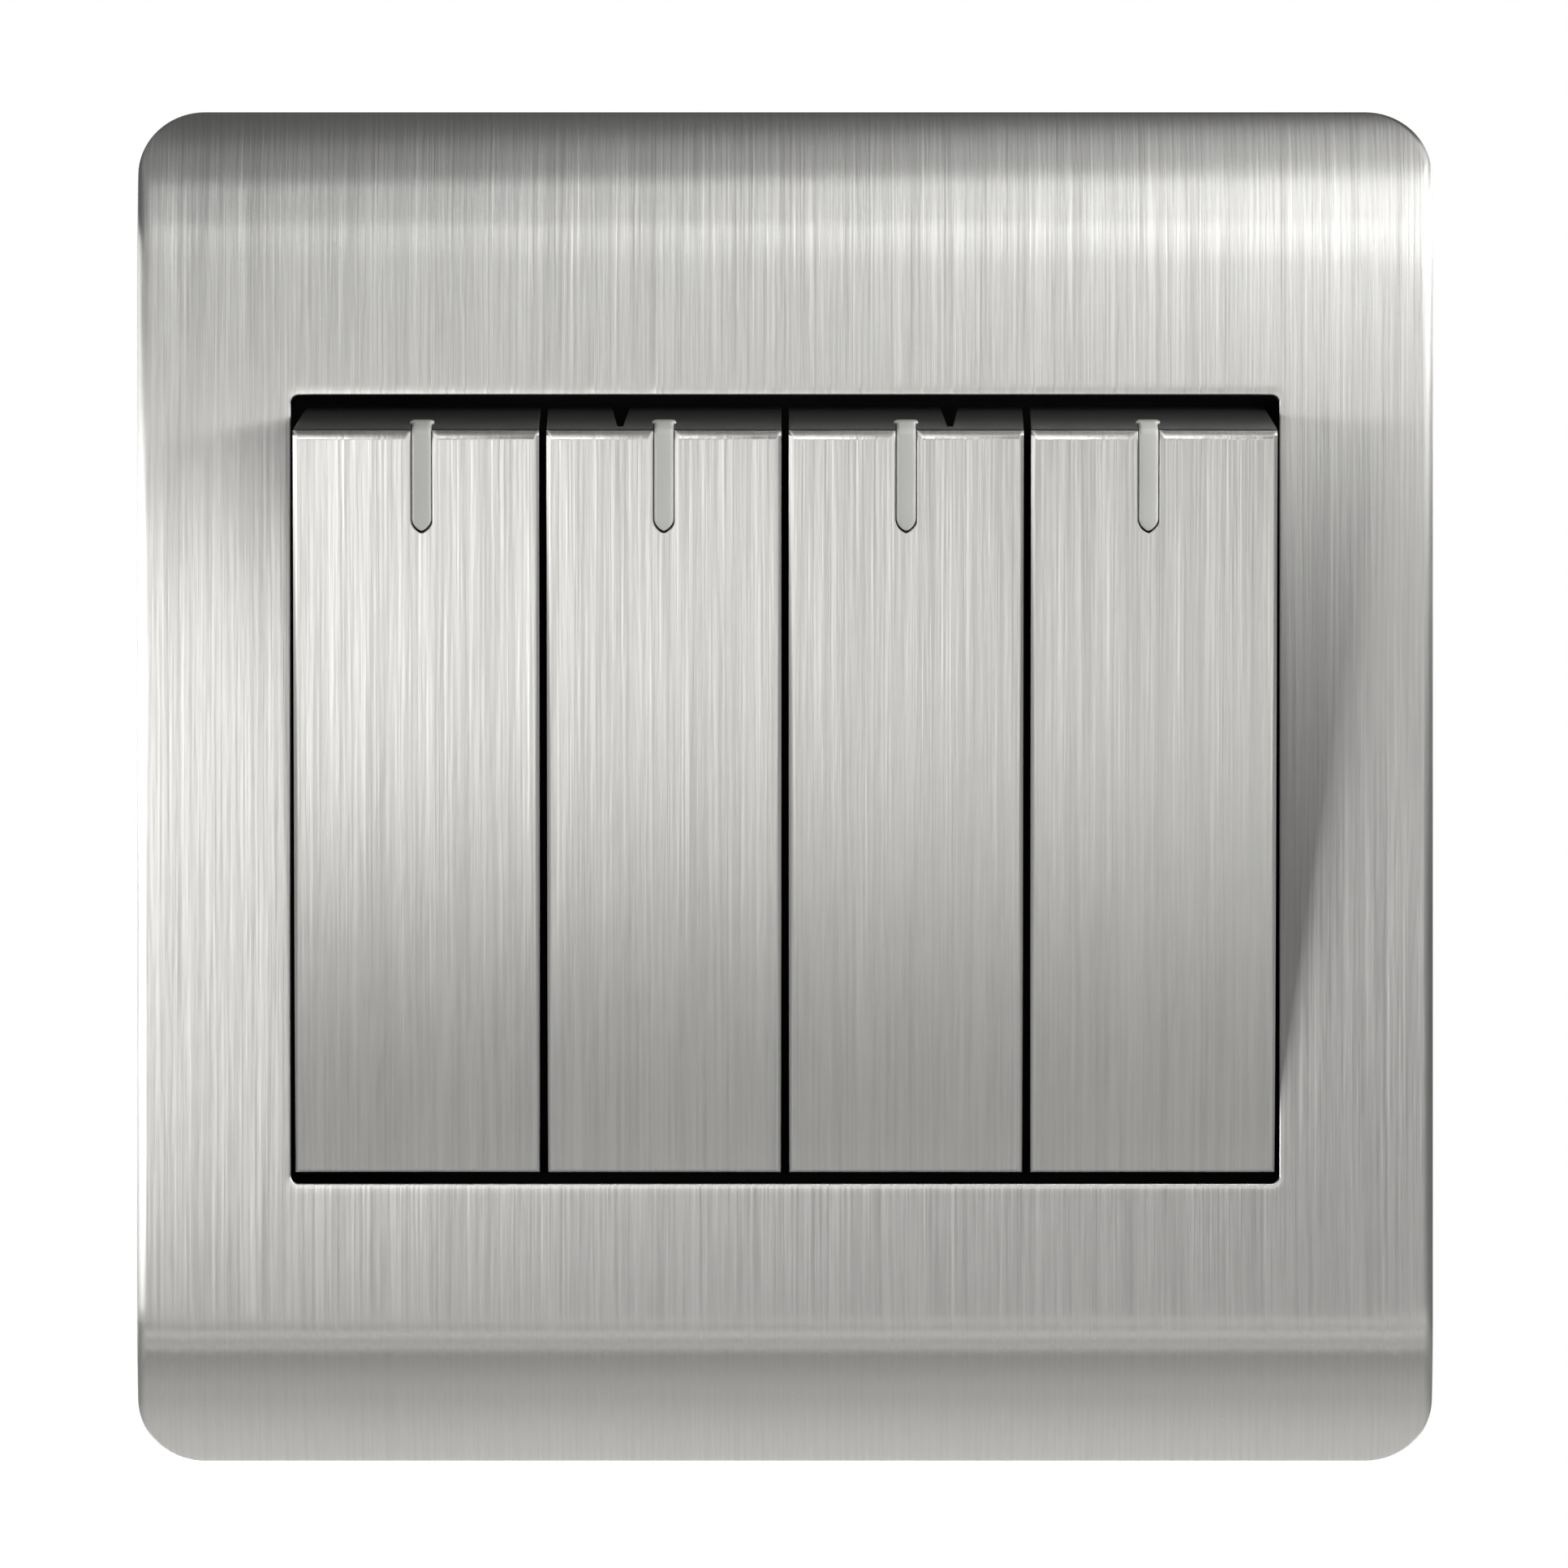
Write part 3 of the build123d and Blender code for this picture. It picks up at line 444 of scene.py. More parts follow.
def cap_surface(sizes, left, right, half, pipe):
    """A cap as a rounding profile carried round its outline, slotted at the top for the light pipe. At a
    point whose rounding is r, ring t lies r (1 - cos t) inside the outline and r (1 - sin t) behind the
    front. The flat front and rear close it."""
    slot = sizes.pipe_width / 2 + sizes.pipe_gap
    tip = half - sizes.pipe_length + sizes.pipe_width / 2
    top, edge, tight = sizes.top_round, sizes.edge_round, sizes.slot_round
    a = np.linspace(0.0, -math.pi, TIP_STEPS)
    power = 2 / sizes.pipe_point
    wide = np.sign(np.cos(a)) * np.abs(np.cos(a)) ** power
    deep = np.abs(np.sin(a)) ** power * TIP_REACH
    bullet = np.column_stack([pipe + slot * wide, tip - slot * deep])
    before = np.array(
        [
            (left, -half),
            (right, -half),
            (right, half - CAP_EASE),
            (right, half),
            (right - CAP_EASE, half),
            (pipe + slot + CAP_EASE, half),
            (pipe + slot, half),
            (pipe + slot, half - 2 * CAP_EASE),
        ]
    )
    after = np.array(
        [
            (pipe - slot, half - 2 * CAP_EASE),
            (pipe - slot, half),
            (pipe - slot - CAP_EASE, half),
            (left + CAP_EASE, half),
            (left, half),
            (left, half - CAP_EASE),
        ]
    )
    radius = np.concatenate(
        [
            [edge, edge, edge, edge, top, top, tight, tight],
            np.full(len(a), tight),
            [tight, tight, top, top, edge, edge],
        ]
    )
    outline = np.concatenate([before, bullet, after])
    ahead = np.roll(outline, -1, 0) - outline
    ahead /= np.linalg.norm(ahead, axis=1, keepdims=True)
    normal = np.column_stack([ahead[:, 1], -ahead[:, 0]])
    behind = np.roll(normal, 1, 0)
    mitre = (normal + behind) / (1 + (normal * behind).sum(1, keepdims=True))
    rear = sizes.face_height - sizes.sheet
    sections = [(np.full(len(outline), rear), 0 * radius, 0.0)]
    for t in np.linspace(0.0, math.pi / 2, CAP_STEPS):
        out = sizes.face_height - radius * (1 - math.sin(t))
        sections.append((out, radius * (1 - math.cos(t)), math.cos(t)))
    rings, marks, edges = [], [], []
    for out, inset, polish in sections:
        plan = outline - mitre * inset[:, None]
        rings.append(lean_place(sizes, plan[:, 0], plan[:, 1], np.maximum(out, rear)))
        marks.append(plan + mitre * (sizes.face_height - out)[:, None] * EDGE_RUN)
        edges.append(np.full(len(outline), polish))
    return np.array(rings)[:, ::-1], np.array(marks)[:, ::-1], np.array(edges)


def pipe_surface(sizes, half, pipe):
    """A light pipe as a rounded bar carried along its path: straight up the face, round the upper edge on an
    arc, and down the end wall to a wider head. At a distance d from its lower tip the bar's width w follows
    (w / W)^p + ((l - d) / l)^p = 1 over the nose's length l, with the tip's roundness as p."""
    bend, proud = sizes.pipe_bend, sizes.pipe_proud
    fall = math.pi / 2 - math.atan(sizes.end_slope)
    face = sizes.face_height + proud
    start = half - sizes.pipe_length
    tip = sizes.pipe_width * NOSE_LENGTH
    turn = bend * math.tan(fall / 2)
    corner = half + proud
    d = tip * (1 - np.cos(np.linspace(NOSE_START, math.pi / 2, NOSE_STEPS)))
    nose = np.column_stack([start + d, np.full(len(d), face)])
    ahead = np.linspace(start + tip, corner - turn, STRAIGHT_STEPS)[1:-1]
    run = np.column_stack([ahead, np.full(len(ahead), face)])
    b = np.linspace(0.0, fall, BEND_STEPS)
    arc = np.column_stack([corner - turn + bend * np.sin(b), face - bend + bend * np.cos(b)])
    down = np.array([math.cos(fall), -math.sin(fall)])
    drop = sizes.pipe_drop - bend
    tail = arc[-1] + np.array(TAIL_SHARES)[:, None] * drop * down
    path = np.concatenate([nose, run, arc, tail])
    inward = np.concatenate(
        [
            np.tile([0.0, -1.0], (len(nose) + len(run), 1)),
            np.column_stack([-np.sin(b), -np.cos(b)]),
            np.tile([-math.sin(fall), -math.cos(fall)], (len(tail), 1)),
        ]
    )
    share = np.ones(len(path))
    point = sizes.pipe_point
    share[: len(d)] = np.clip(1 - ((tip - d) / tip) ** point, 0, 1) ** (1 / point)
    share[-2:] = sizes.pipe_head
    r = sizes.pipe_round
    q = np.linspace(0.0, math.pi / 2, ROUND_STEPS)
    wide = sizes.pipe_width / 2
    right = np.column_stack([wide - r + r * np.sin(q), r - r * np.cos(q)])
    left = right[::-1] * [-1, 1]
    section = np.concatenate([right, [(wide, 0.0), (-wide, 0.0)], left])
    deep = np.repeat([False, True, False], [len(right), 2, len(left)])
    across = pipe + section[None, :, 0] * share[:, None]
    round_in = section[None, :, 1] + NOSE_SINK * r * (1 - share[:, None]) ** 2
    sunk = np.where(deep[None], sizes.pipe_thick, round_in)
    up = path[:, None, 0] + inward[:, None, 0] * sunk
    out = path[:, None, 1] + inward[:, None, 1] * sunk
    points = lean_place(sizes, across, up, out)
    along = np.linspace(0, sizes.pipe_length, len(path))[:, None]
    marks = np.stack([across, np.broadcast_to(along, across.shape)], -1)
    edges = np.broadcast_to(~deep[None], across.shape).astype(float)
    return points[:, ::-1], marks[:, ::-1], edges[:, ::-1]


def coil_surface(sizes, rocker, middle):
    """A coil spring as a round wire carried along a helix about the plunger's own axis. After a turn of a,
    the wire's middle is at radius (cos a, sin a) and has climbed in step with a, but flat over the first and
    last half turn, and its skin is (wire / 2) (cos q outwards, sin q along the axis) from there."""
    a = np.linspace(0.0, 2 * math.pi * sizes.turns, round(COIL_STEPS * sizes.turns))
    q = np.linspace(0.0, 2 * math.pi, WIRE_STEPS, endpoint=False)
    low = sizes.seat + sizes.wire / 2 - sizes.foot
    high = sizes.head - sizes.seat - sizes.wire / 2
    climb = np.clip((a - math.pi) / (a[-1] - 2 * math.pi), 0.0, 1.0)
    out = low + (high - low) * climb[:, None] + sizes.wire / 2 * np.sin(q)
    away = sizes.radius + sizes.wire / 2 * np.cos(q)
    across, up = away * np.cos(a)[:, None], away * np.sin(a)[:, None]
    around = np.broadcast_to(q * sizes.wire / 2, out.shape)
    along = np.broadcast_to(a[:, None] * sizes.radius, out.shape)
    marks = np.stack([around, along], -1)
    return lean_place(rocker, middle + across, up, out), marks, np.zeros(out.shape)


def moulding(node, width):
    """A copy of a CAD node with its doubled points merged, flat faces made whole and sharp edges rounded."""
    name = node + "_moulded"
    mesh = bpy.data.meshes.new(name)
    work = bmesh.new()
    work.from_mesh(frame["nodes"][node].data)
    bmesh.ops.remove_doubles(work, verts=work.verts, dist=MERGE_DISTANCE)
    bmesh.ops.dissolve_limit(work, angle_limit=FLAT_ANGLE, verts=work.verts, edges=work.edges)
    sharp = [e for e in work.edges if len(e.link_faces) == 2 and e.calc_face_angle(0.0) > SHARP_ANGLE]
    bmesh.ops.bevel(
        work,
        geom=sharp,
        offset=width,
        offset_type="OFFSET",
        segments=BEVEL_STEPS,
        profile=0.5,
        affect="EDGES",
        clamp_overlap=True,
    )
    for face in work.faces:
        face.smooth = True
    work.to_mesh(mesh)
    work.free()
    piece = bpy.data.objects.new(name, mesh)
    bpy.context.scene.collection.objects.link(piece)
    weighted = piece.modifiers.new("weighted", "WEIGHTED_NORMAL")
    weighted.mode = "FACE_AREA"
    weighted.weight = FACE_WEIGHT
    return piece


def place(piece, material, body, slot, *nodes):
    """Give a piece its material and body, and let it stand for its CAD nodes. The slot is not used."""
    piece.data.materials.clear()
    piece.data.materials.append(material)
    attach(piece, body)
    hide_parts(*nodes)


# Finishes


def put(tree, kind, values=None, links=None, **settings):
    """A node with its settings, socket values and incoming links."""
    node = tree.nodes.new(kind)
    for key, value in settings.items():
        setattr(node, key, value)
    for key, value in (values or {}).items():
        node.inputs[key].default_value = value
    for key, source in (links or {}).items():
        tree.links.new(source, node.inputs[key])
    return node


def reckon(tree, operation, *terms):
    """The result of a math node on sockets and plain numbers."""
    node = put(tree, "ShaderNodeMath", operation=operation)
    for index, term in enumerate(terms):
        if isinstance(term, bpy.types.NodeSocket):
            tree.links.new(term, node.inputs[index])
        else:
            node.inputs[index].default_value = term
    return node.outputs[0]


def new_group(name, inputs, outputs):
    """An empty shader group with its sockets, and its input and output nodes."""
    tree = bpy.data.node_groups.new(name, "ShaderNodeTree")
    for key, kind, default in inputs:
        socket = tree.interface.new_socket(name=key, in_out="INPUT", socket_type=kind)
        if default is not None:
            socket.default_value = default
    for key, kind in outputs:
        tree.interface.new_socket(name=key, in_out="OUTPUT", socket_type=kind)
    return tree, tree.nodes.new("NodeGroupInput"), tree.nodes.new("NodeGroupOutput")


def brushed_grain():
    """Shader group: straight strands along the sheet. Three bands of noise, squeezed across and drawn out
    along, make the strands' tone and height, and a slow one makes clouds."""
    name = "Brushed grain"
    if name in bpy.data.node_groups:
        return bpy.data.node_groups[name]
    tree, given, result = new_group(
        name,
        [
            ("Sheet position", "NodeSocketVector", None),
            ("Strands per mm", "NodeSocketFloat", 5.0),
            ("Strand length", "NodeSocketFloat", 9.0),
            ("Seed", "NodeSocketFloat", 0.0),
        ],
        [("Tone", "NodeSocketFloat"), ("Height", "NodeSocketFloat"), ("Cloud", "NodeSocketFloat")],
    )
    split = put(tree, "ShaderNodeSeparateXYZ", links={0: given.outputs["Sheet position"]})
    across = reckon(tree, "MULTIPLY", split.outputs[0], given.outputs["Strands per mm"])
    along = reckon(tree, "DIVIDE", split.outputs[1], given.outputs["Strand length"])
    spot = put(tree, "ShaderNodeCombineXYZ", links={0: across, 1: along, 2: given.outputs["Seed"]})

    def band(stretch, detail, roughness=0.5):
        """Noise on the strands' own grid, stretched."""
        grid = put(tree, "ShaderNodeVectorMath", {1: stretch}, {0: spot.outputs[0]}, operation="MULTIPLY")
        values = {"Scale": 1.0, "Detail": detail, "Roughness": roughness}
        return put(tree, "ShaderNodeTexNoise", values, {"Vector": grid.outputs[0]}).outputs["Fac"]

    fine = band(FINE_BAND, 2.0, 0.55)
    broad = band(BROAD_BAND, 2.0)
    short = band(SHORT_BAND, 1.0)
    mixed = reckon(tree, "MULTIPLY_ADD", broad, BROAD_TONE, fine)
    mixed = reckon(tree, "MULTIPLY_ADD", short, SHORT_TONE, mixed)
    limits = {"From Min": TONE_RANGE[0], "From Max": TONE_RANGE[1]}
    tone = put(tree, "ShaderNodeMapRange", limits, {"Value": mixed})
    rise = reckon(tree, "MULTIPLY", fine, broad)
    rise = reckon(tree, "MULTIPLY_ADD", broad, BROAD_HEIGHT, rise)
    rise = reckon(tree, "MULTIPLY_ADD", short, SHORT_HEIGHT, rise)
    tree.links.new(tone.outputs[0], result.inputs["Tone"])
    tree.links.new(rise, result.inputs["Height"])
    tree.links.new(band(CLOUD_BAND, 1.0), result.inputs["Cloud"])
    return tree


def fine_specks():
    """Shader group: a few tiny bright specks of dust, one in some cells of a fine lattice."""
    name = "Fine specks"
    if name in bpy.data.node_groups:
        return bpy.data.node_groups[name]
    tree, given, result = new_group(
        name,
        [
            ("Position", "NodeSocketVector", None),
            ("Cells per mm", "NodeSocketFloat", 0.35),
            ("Size", "NodeSocketFloat", 0.03),
        ],
        [("Mask", "NodeSocketFloat")],
    )
    cells = put(
        tree,
        "ShaderNodeTexVoronoi",
        {"Randomness": 1.0},
        {"Vector": given.outputs["Position"], "Scale": given.outputs["Cells per mm"]},
    )
    near = reckon(tree, "LESS_THAN", cells.outputs["Distance"], given.outputs["Size"])
    chance = put(tree, "ShaderNodeSeparateColor", links={0: cells.outputs["Color"]})
    rare = reckon(tree, "LESS_THAN", chance.outputs[0], SPECK_CHANCE)
    tree.links.new(reckon(tree, "MULTIPLY", near, rare), result.inputs["Mask"])
    return tree


def moulded_skin():
    """Shader group: the fine grain of a moulded surface, with faint flow marks."""
    name = "Moulded skin"
    if name in bpy.data.node_groups:
        return bpy.data.node_groups[name]
    tree, given, result = new_group(
        name,
        [("Position", "NodeSocketVector", None), ("Grains per m", "NodeSocketFloat", 9000.0)],
        [("Tone", "NodeSocketFloat"), ("Height", "NodeSocketFloat")],
    )
    position = given.outputs["Position"]
    grain = put(
        tree,
        "ShaderNodeTexNoise",
        {"Detail": 2.0, "Roughness": 0.5},
        {"Vector": position, "Scale": given.outputs["Grains per m"]},
    )
    flow = put(tree, "ShaderNodeTexNoise", {"Scale": 120.0, "Detail": 2.0}, {"Vector": position})
    tree.links.new(flow.outputs["Fac"], result.inputs["Tone"])
    tree.links.new(grain.outputs["Fac"], result.inputs["Height"])
    return tree


def new_material(name):
    """A node material with its Principled shader."""
    material = bpy.data.materials.new(name)
    material.use_nodes = True
    tree = material.node_tree
    return material, tree, tree.nodes["Principled BSDF"]


def grade(tree, factor, dark, light):
    """A colour between two, by a factor."""
    ramp = put(tree, "ShaderNodeValToRGB", links={0: factor})
    ramp.color_ramp.elements[0].color = (*dark, 1.0)
    ramp.color_ramp.elements[1].color = (*light, 1.0)
    return ramp.outputs["Color"]


def between(tree, factor, low, high):
    """A value between two, by a factor."""
    return put(tree, "ShaderNodeMapRange", {"To Min": low, "To Max": high}, {"Value": factor}).outputs[0]


def strands_on(tree, spot, strands, strand_length, seed=0.0):
    """The brushed grain, laid on a position in millimetres."""
    return put(
        tree,
        "ShaderNodeGroup",
        {"Strands per mm": strands, "Strand length": strand_length, "Seed": seed},
        {"Sheet position": spot},
        node_tree=brushed_grain(),
    )


def roughen(tree, shader, height, strength, depth):
    """Let a height stand up as bumps on a shader's surface."""
    bump = put(tree, "ShaderNodeBump", {"Strength": strength, "Distance": depth}, {"Height": height})
    tree.links.new(bump.outputs[0], shader.inputs["Normal"])


def brushed_steel(name, finish, seed, depth, worn=0.0):
    """Stainless sheet brushed upright: strands that stand up and differ a little in tone, with highlights
    drawn out across them, and duller edges where they are worn."""
    material, tree, shader = new_material(name)
    sheet = put(tree, "ShaderNodeUVMap", uv_map=UV_NAME).outputs[0]
    grain = strands_on(tree, sheet, STRANDS, STRAND_LENGTH, seed)
    specks = put(tree, "ShaderNodeGroup", links={"Position": sheet}, node_tree=fine_specks())
    tone = reckon(tree, "MAXIMUM", grain.outputs["Tone"], specks.outputs["Mask"])
    colour = grade(tree, tone, finish.steel_dark, finish.steel_light)
    tree.links.new(colour, shader.inputs["Base Color"])
    edge = put(tree, "ShaderNodeAttribute", attribute_name=EDGE_NAME)
    even = between(tree, grain.outputs["Tone"], *STEEL_ROUGHNESS)
    rough = reckon(tree, "MULTIPLY_ADD", edge.outputs["Fac"], worn, even)
    tree.links.new(rough, shader.inputs["Roughness"])
    roughen(tree, shader, grain.outputs["Height"], strength=1.0, depth=depth)
    across = put(tree, "ShaderNodeTangent", direction_type="UV_MAP", uv_map=UV_NAME)
    tree.links.new(across.outputs[0], shader.inputs["Tangent"])
    shader.inputs["Metallic"].default_value = 1.0
    shader.inputs["Anisotropic"].default_value = 1.0
    return material


def moulded_plastic(name, tone, gloss, grains=9000.0, depth=0.012 * MM):
    """Moulded plastic: a fine skin with faint flow marks in tone and gloss."""
    material, tree, shader = new_material(name)
    spot = put(tree, "ShaderNodeTexCoord").outputs["Object"]
    surface = put(
        tree, "ShaderNodeGroup", {"Grains per m": grains}, {"Position": spot}, node_tree=moulded_skin()
    )
    dark = [(1 - FLOW_TONE) * v for v in tone]
    light = [min(1.0, (1 + FLOW_TONE) * v) for v in tone]
    flow = surface.outputs["Tone"]
    tree.links.new(grade(tree, flow, dark, light), shader.inputs["Base Color"])
    tree.links.new(between(tree, flow, gloss + FLOW_GLOSS, gloss - FLOW_GLOSS), shader.inputs["Roughness"])
    roughen(tree, shader, surface.outputs["Height"], strength=0.35, depth=depth)
    return material


def milky_plastic(name, tone):
    """Clear plastic with milk in it: soft inside, glossy outside."""
    material = moulded_plastic(name, tone, gloss=0.3, grains=4000.0, depth=0.004 * MM)
    shader = material.node_tree.nodes["Principled BSDF"]
    shader.inputs["Subsurface Weight"].default_value = 0.25
    shader.inputs["Subsurface Radius"].default_value = (0.6 * MM, 0.6 * MM, 0.5 * MM)
    shader.inputs["IOR"].default_value = 1.49
    return material


def rolled_metal(name, tone, gloss):
    """Rolled and stamped strip: faint strands, dulled in clouds."""
    material, tree, shader = new_material(name)
    spot = put(tree, "ShaderNodeTexCoord").outputs["Object"]
    scaled = put(tree, "ShaderNodeMapping", {"Scale": (1 / MM, 1 / MM, 1 / MM)}, {"Vector": spot})
    grain = strands_on(tree, scaled.outputs[0], strands=3.0, strand_length=4.0)
    dark = [CLOUD_TONE * v for v in tone]
    tree.links.new(grade(tree, grain.outputs["Cloud"], dark, tone), shader.inputs["Base Color"])
    rough = between(tree, grain.outputs["Tone"], gloss + DULLER, gloss - GLOSSIER)
    tree.links.new(rough, shader.inputs["Roughness"])
    roughen(tree, shader, grain.outputs["Height"], strength=0.1, depth=0.01 * MM)
    shader.inputs["Metallic"].default_value = 1.0
    return material


def dress(nodes, material):
    """Give CAD nodes a material in place of their own."""
    for node in nodes:
        mesh = frame["nodes"][node].data
        mesh.materials.clear()
        mesh.materials.append(material)


# Operators


class LIGHTSWITCH_OT_face_plate(Operator):
    """Build the formed steel plate"""

    bl_idname = "light_switch.face_plate"
    bl_label = "Face plate"

    def execute(self, context):
        settings = context.scene.light_switch
        piece = skin("steel_plate", *plate_surface(settings.plate))
        steel = brushed_steel("plate_brushed_steel", settings.finish, seed=0.0, depth=PLATE_BRUSHING)
        place(piece, steel, "housing", "plate_steel", "faceplate")
        return {"FINISHED"}


class LIGHTSWITCH_OT_rocker_caps(Operator):
    """Build the four brushed steel rocker caps"""

    bl_idname = "light_switch.rocker_caps"
    bl_label = "Rocker caps"

    def execute(self, context):
        settings = context.scene.light_switch
        sizes = settings.rocker
        for number in GANGS:
            node = f"rocker_face_{number}"
            low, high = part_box(node)
            surface = cap_surface(sizes, low.x, high.x, cap_half(sizes, node), pipe_middle(sizes, number))
            piece = skin(f"rocker_cap_{number}", *surface, ends=True)
            name = f"rocker_brushed_steel_{number}"
            steel = brushed_steel(name, settings.finish, CAP_SEED * number, CAP_BRUSHING, worn=CAP_WEAR)
            place(piece, steel, f"rocker_{number}", "rocker_steel", node)
        return {"FINISHED"}


class LIGHTSWITCH_OT_light_pipes(Operator):
    """Build the four milky light pipes"""

    bl_idname = "light_switch.light_pipes"
    bl_label = "Light pipes"

    def execute(self, context):
        settings = context.scene.light_switch
        sizes = settings.rocker
        milky = milky_plastic("milky_light_pipe", settings.finish.light_pipe)
        for number in GANGS:
            half = cap_half(sizes, f"rocker_face_{number}")
            surface = pipe_surface(sizes, half, pipe_middle(sizes, number))
            piece = skin(f"light_pipe_{number}", *surface, ends=True)
            place(piece, milky, f"rocker_{number}", "light_pipe", f"indicator_{number}")
        return {"FINISHED"}


class LIGHTSWITCH_OT_mouldings(Operator):
    """Round the edges of the plastic mouldings and give them their skins"""

    bl_idname = "light_switch.mouldings"
    bl_label = "Mouldings"

    def execute(self, context):
        finish = context.scene.light_switch.finish
        rocker = moulded_plastic("rocker_satin_plastic", finish.rocker_plastic, gloss=0.36)
        for number in GANGS:
            node = f"rocker_body_{number}"
            place(moulding(node, ROCKER_EDGE), rocker, f"rocker_{number}", "rocker_plastic", node)
        for node, slot, tone, gloss in (
            ("faceplate_carrier", "carrier_plastic", finish.carrier_plastic, 0.5),
            ("support_frame", "frame_plastic", finish.frame_plastic, 0.5),
            ("rear_base", "base_plastic", finish.base_plastic, 0.46),
        ):
            skin_material = moulded_plastic(slot + "_skin", tone, gloss)
            place(moulding(node, HOUSING_EDGE), skin_material, "housing", slot, node)
        nylon = moulded_plastic("plunger_nylon_skin", finish.nylon, gloss=0.4)
        dress([f"plunger_{n}" for n in GANGS], nylon)
        return {"FINISHED"}


class LIGHTSWITCH_OT_live_parts(Operator):
    """Give the terminals, contacts, arms and wire springs their metals"""

    bl_idname = "light_switch.live_parts"
    bl_label = "Live parts"

    def execute(self, context):
        finish = context.scene.light_switch.finish
        brass = rolled_metal("terminal_rolled_brass", finish.brass, gloss=0.32)
        copper = rolled_metal("arm_rolled_copper", finish.copper, gloss=0.34)
        silver = rolled_metal("contact_pressed_silver", finish.silver, gloss=0.3)
        spring = rolled_metal("drawn_spring_steel", finish.spring, gloss=0.28)
        dress([f"{kind}_terminal_{n}" for kind in ("common", "load") for n in GANGS], brass)
        dress([f"contact_arm_{n}" for n in GANGS], copper)
        dress([f"{kind}_contact_{n}" for kind in ("moving", "fixed") for n in GANGS], silver)
        dress(["wire_springs"], spring)
        return {"FINISHED"}


class LIGHTSWITCH_OT_plunger_springs(Operator):
    """Build the four coil springs behind the plungers"""

    bl_idname = "light_switch.plunger_springs"
    bl_label = "Plunger springs"

    def execute(self, context):
        settings = context.scene.light_switch
        sizes = settings.spring
        steel = rolled_metal("coil_spring_steel", settings.finish.spring, gloss=0.28)
        for number in GANGS:
            node = f"plunger_spring_{number}"
            low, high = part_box(f"plunger_{number}")
            middle = (low.x + high.x) / 2
            surface = coil_surface(sizes, settings.rocker, middle)
            piece = skin(f"coil_spring_{number}", *surface, ends=True)
            place(piece, steel, f"rocker_{number}", "spring_steel", node)
            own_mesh(piece)
        return {"FINISHED"}


def soft_box(name, azimuth, elevation, distance, width, height, power, mirrored):
    """A rectangular studio lamp that faces the part, from an azimuth to the right of straight ahead. The
    camera doesn't see it, and the steel mirrors it only if told to."""
    lamp = bpy.data.lights.new(name, "AREA")
    lamp.shape = "RECTANGLE"
    lamp.size, lamp.size_y = width, height
    lamp.energy = power
    holder = bpy.data.objects.new(name, lamp)
    bpy.context.scene.collection.objects.link(holder)
    turn, rise = math.radians(azimuth), math.radians(elevation)
    away = Vector((math.sin(turn) * math.cos(rise), -math.cos(turn) * math.cos(rise), math.sin(rise)))
    holder.location = away * distance
    holder.rotation_euler = away.to_track_quat("Z", "Y").to_euler()
    holder.visible_camera = False
    holder.visible_glossy = mirrored


# Each soft box: name, azimuth and elevation in degrees, distance, width and height in metres, power in watts,
# and whether the steel mirrors it.
LAMPS = (
    ("right_box", 65.0, 20.0, 0.22, 0.12, 0.08, 0.193, True),
    ("right_front_box", 30.0, 15.0, 0.40, 0.30, 0.20, 0.142, True),
    ("right_high_box", 50.0, 44.0, 0.22, 0.12, 0.08, 0.095, True),
    ("right_middle_box", 50.0, 30.0, 0.22, 0.12, 0.08, 0.036, True),
    ("right_low_box", 50.0, 12.0, 0.22, 0.12, 0.05, 0.022, True),
    ("right_top_box", 78.0, 56.0, 0.22, 0.12, 0.08, 0.043, True),
    ("right_crown_box", 78.0, 70.0, 0.22, 0.12, 0.10, 0.009, True),
    ("left_strip", -60.0, 2.0, 0.22, 0.10, 0.03, 0.0905, True),
    ("left_low_strip", -60.0, -6.0, 0.22, 0.10, 0.03, 0.0705, True),
    ("left_edge_strip", -96.0, 8.0, 0.40, 0.20, 0.075, 0.11, True),
    ("low_strip", 28.0, -9.0, 0.40, 0.16, 0.030, 0.0151, True),
    ("lower_strip", 28.0, -12.0, 0.40, 0.16, 0.030, 0.0172, True),
    ("low_strip_left", -28.0, -10.5, 0.40, 0.16, 0.036, 0.0158, True),
    ("low_near_strip", 0.0, -25.64, 0.1664, 0.36, 0.007, 0.0071, True),
    ("lower_near_strip", 0.0, -27.47, 0.1691, 0.36, 0.007, 0.0029, True),
    ("low_near_band", 0.0, -32.62, 0.1781, 0.36, 0.010, 0.0081, True),
    ("low_front_box", 0.0, -44.0, 0.38, 0.50, 0.16, 0.0274, True),
    ("under_box", 0.0, -75.0, 0.32, 0.60, 0.20, 0.012, True),
    ("rear_box_left", -125.0, 0.0, 0.60, 0.30, 0.30, 0.7, False),
    ("rear_box_right", 125.0, 0.0, 0.60, 0.30, 0.30, 0.7, False),
    ("rear_box", 180.0, 10.0, 0.60, 0.60, 0.40, 2.0, False),
    ("rear_low_box", 180.0, -35.0, 0.45, 0.50, 0.16, 0.6, True),
)


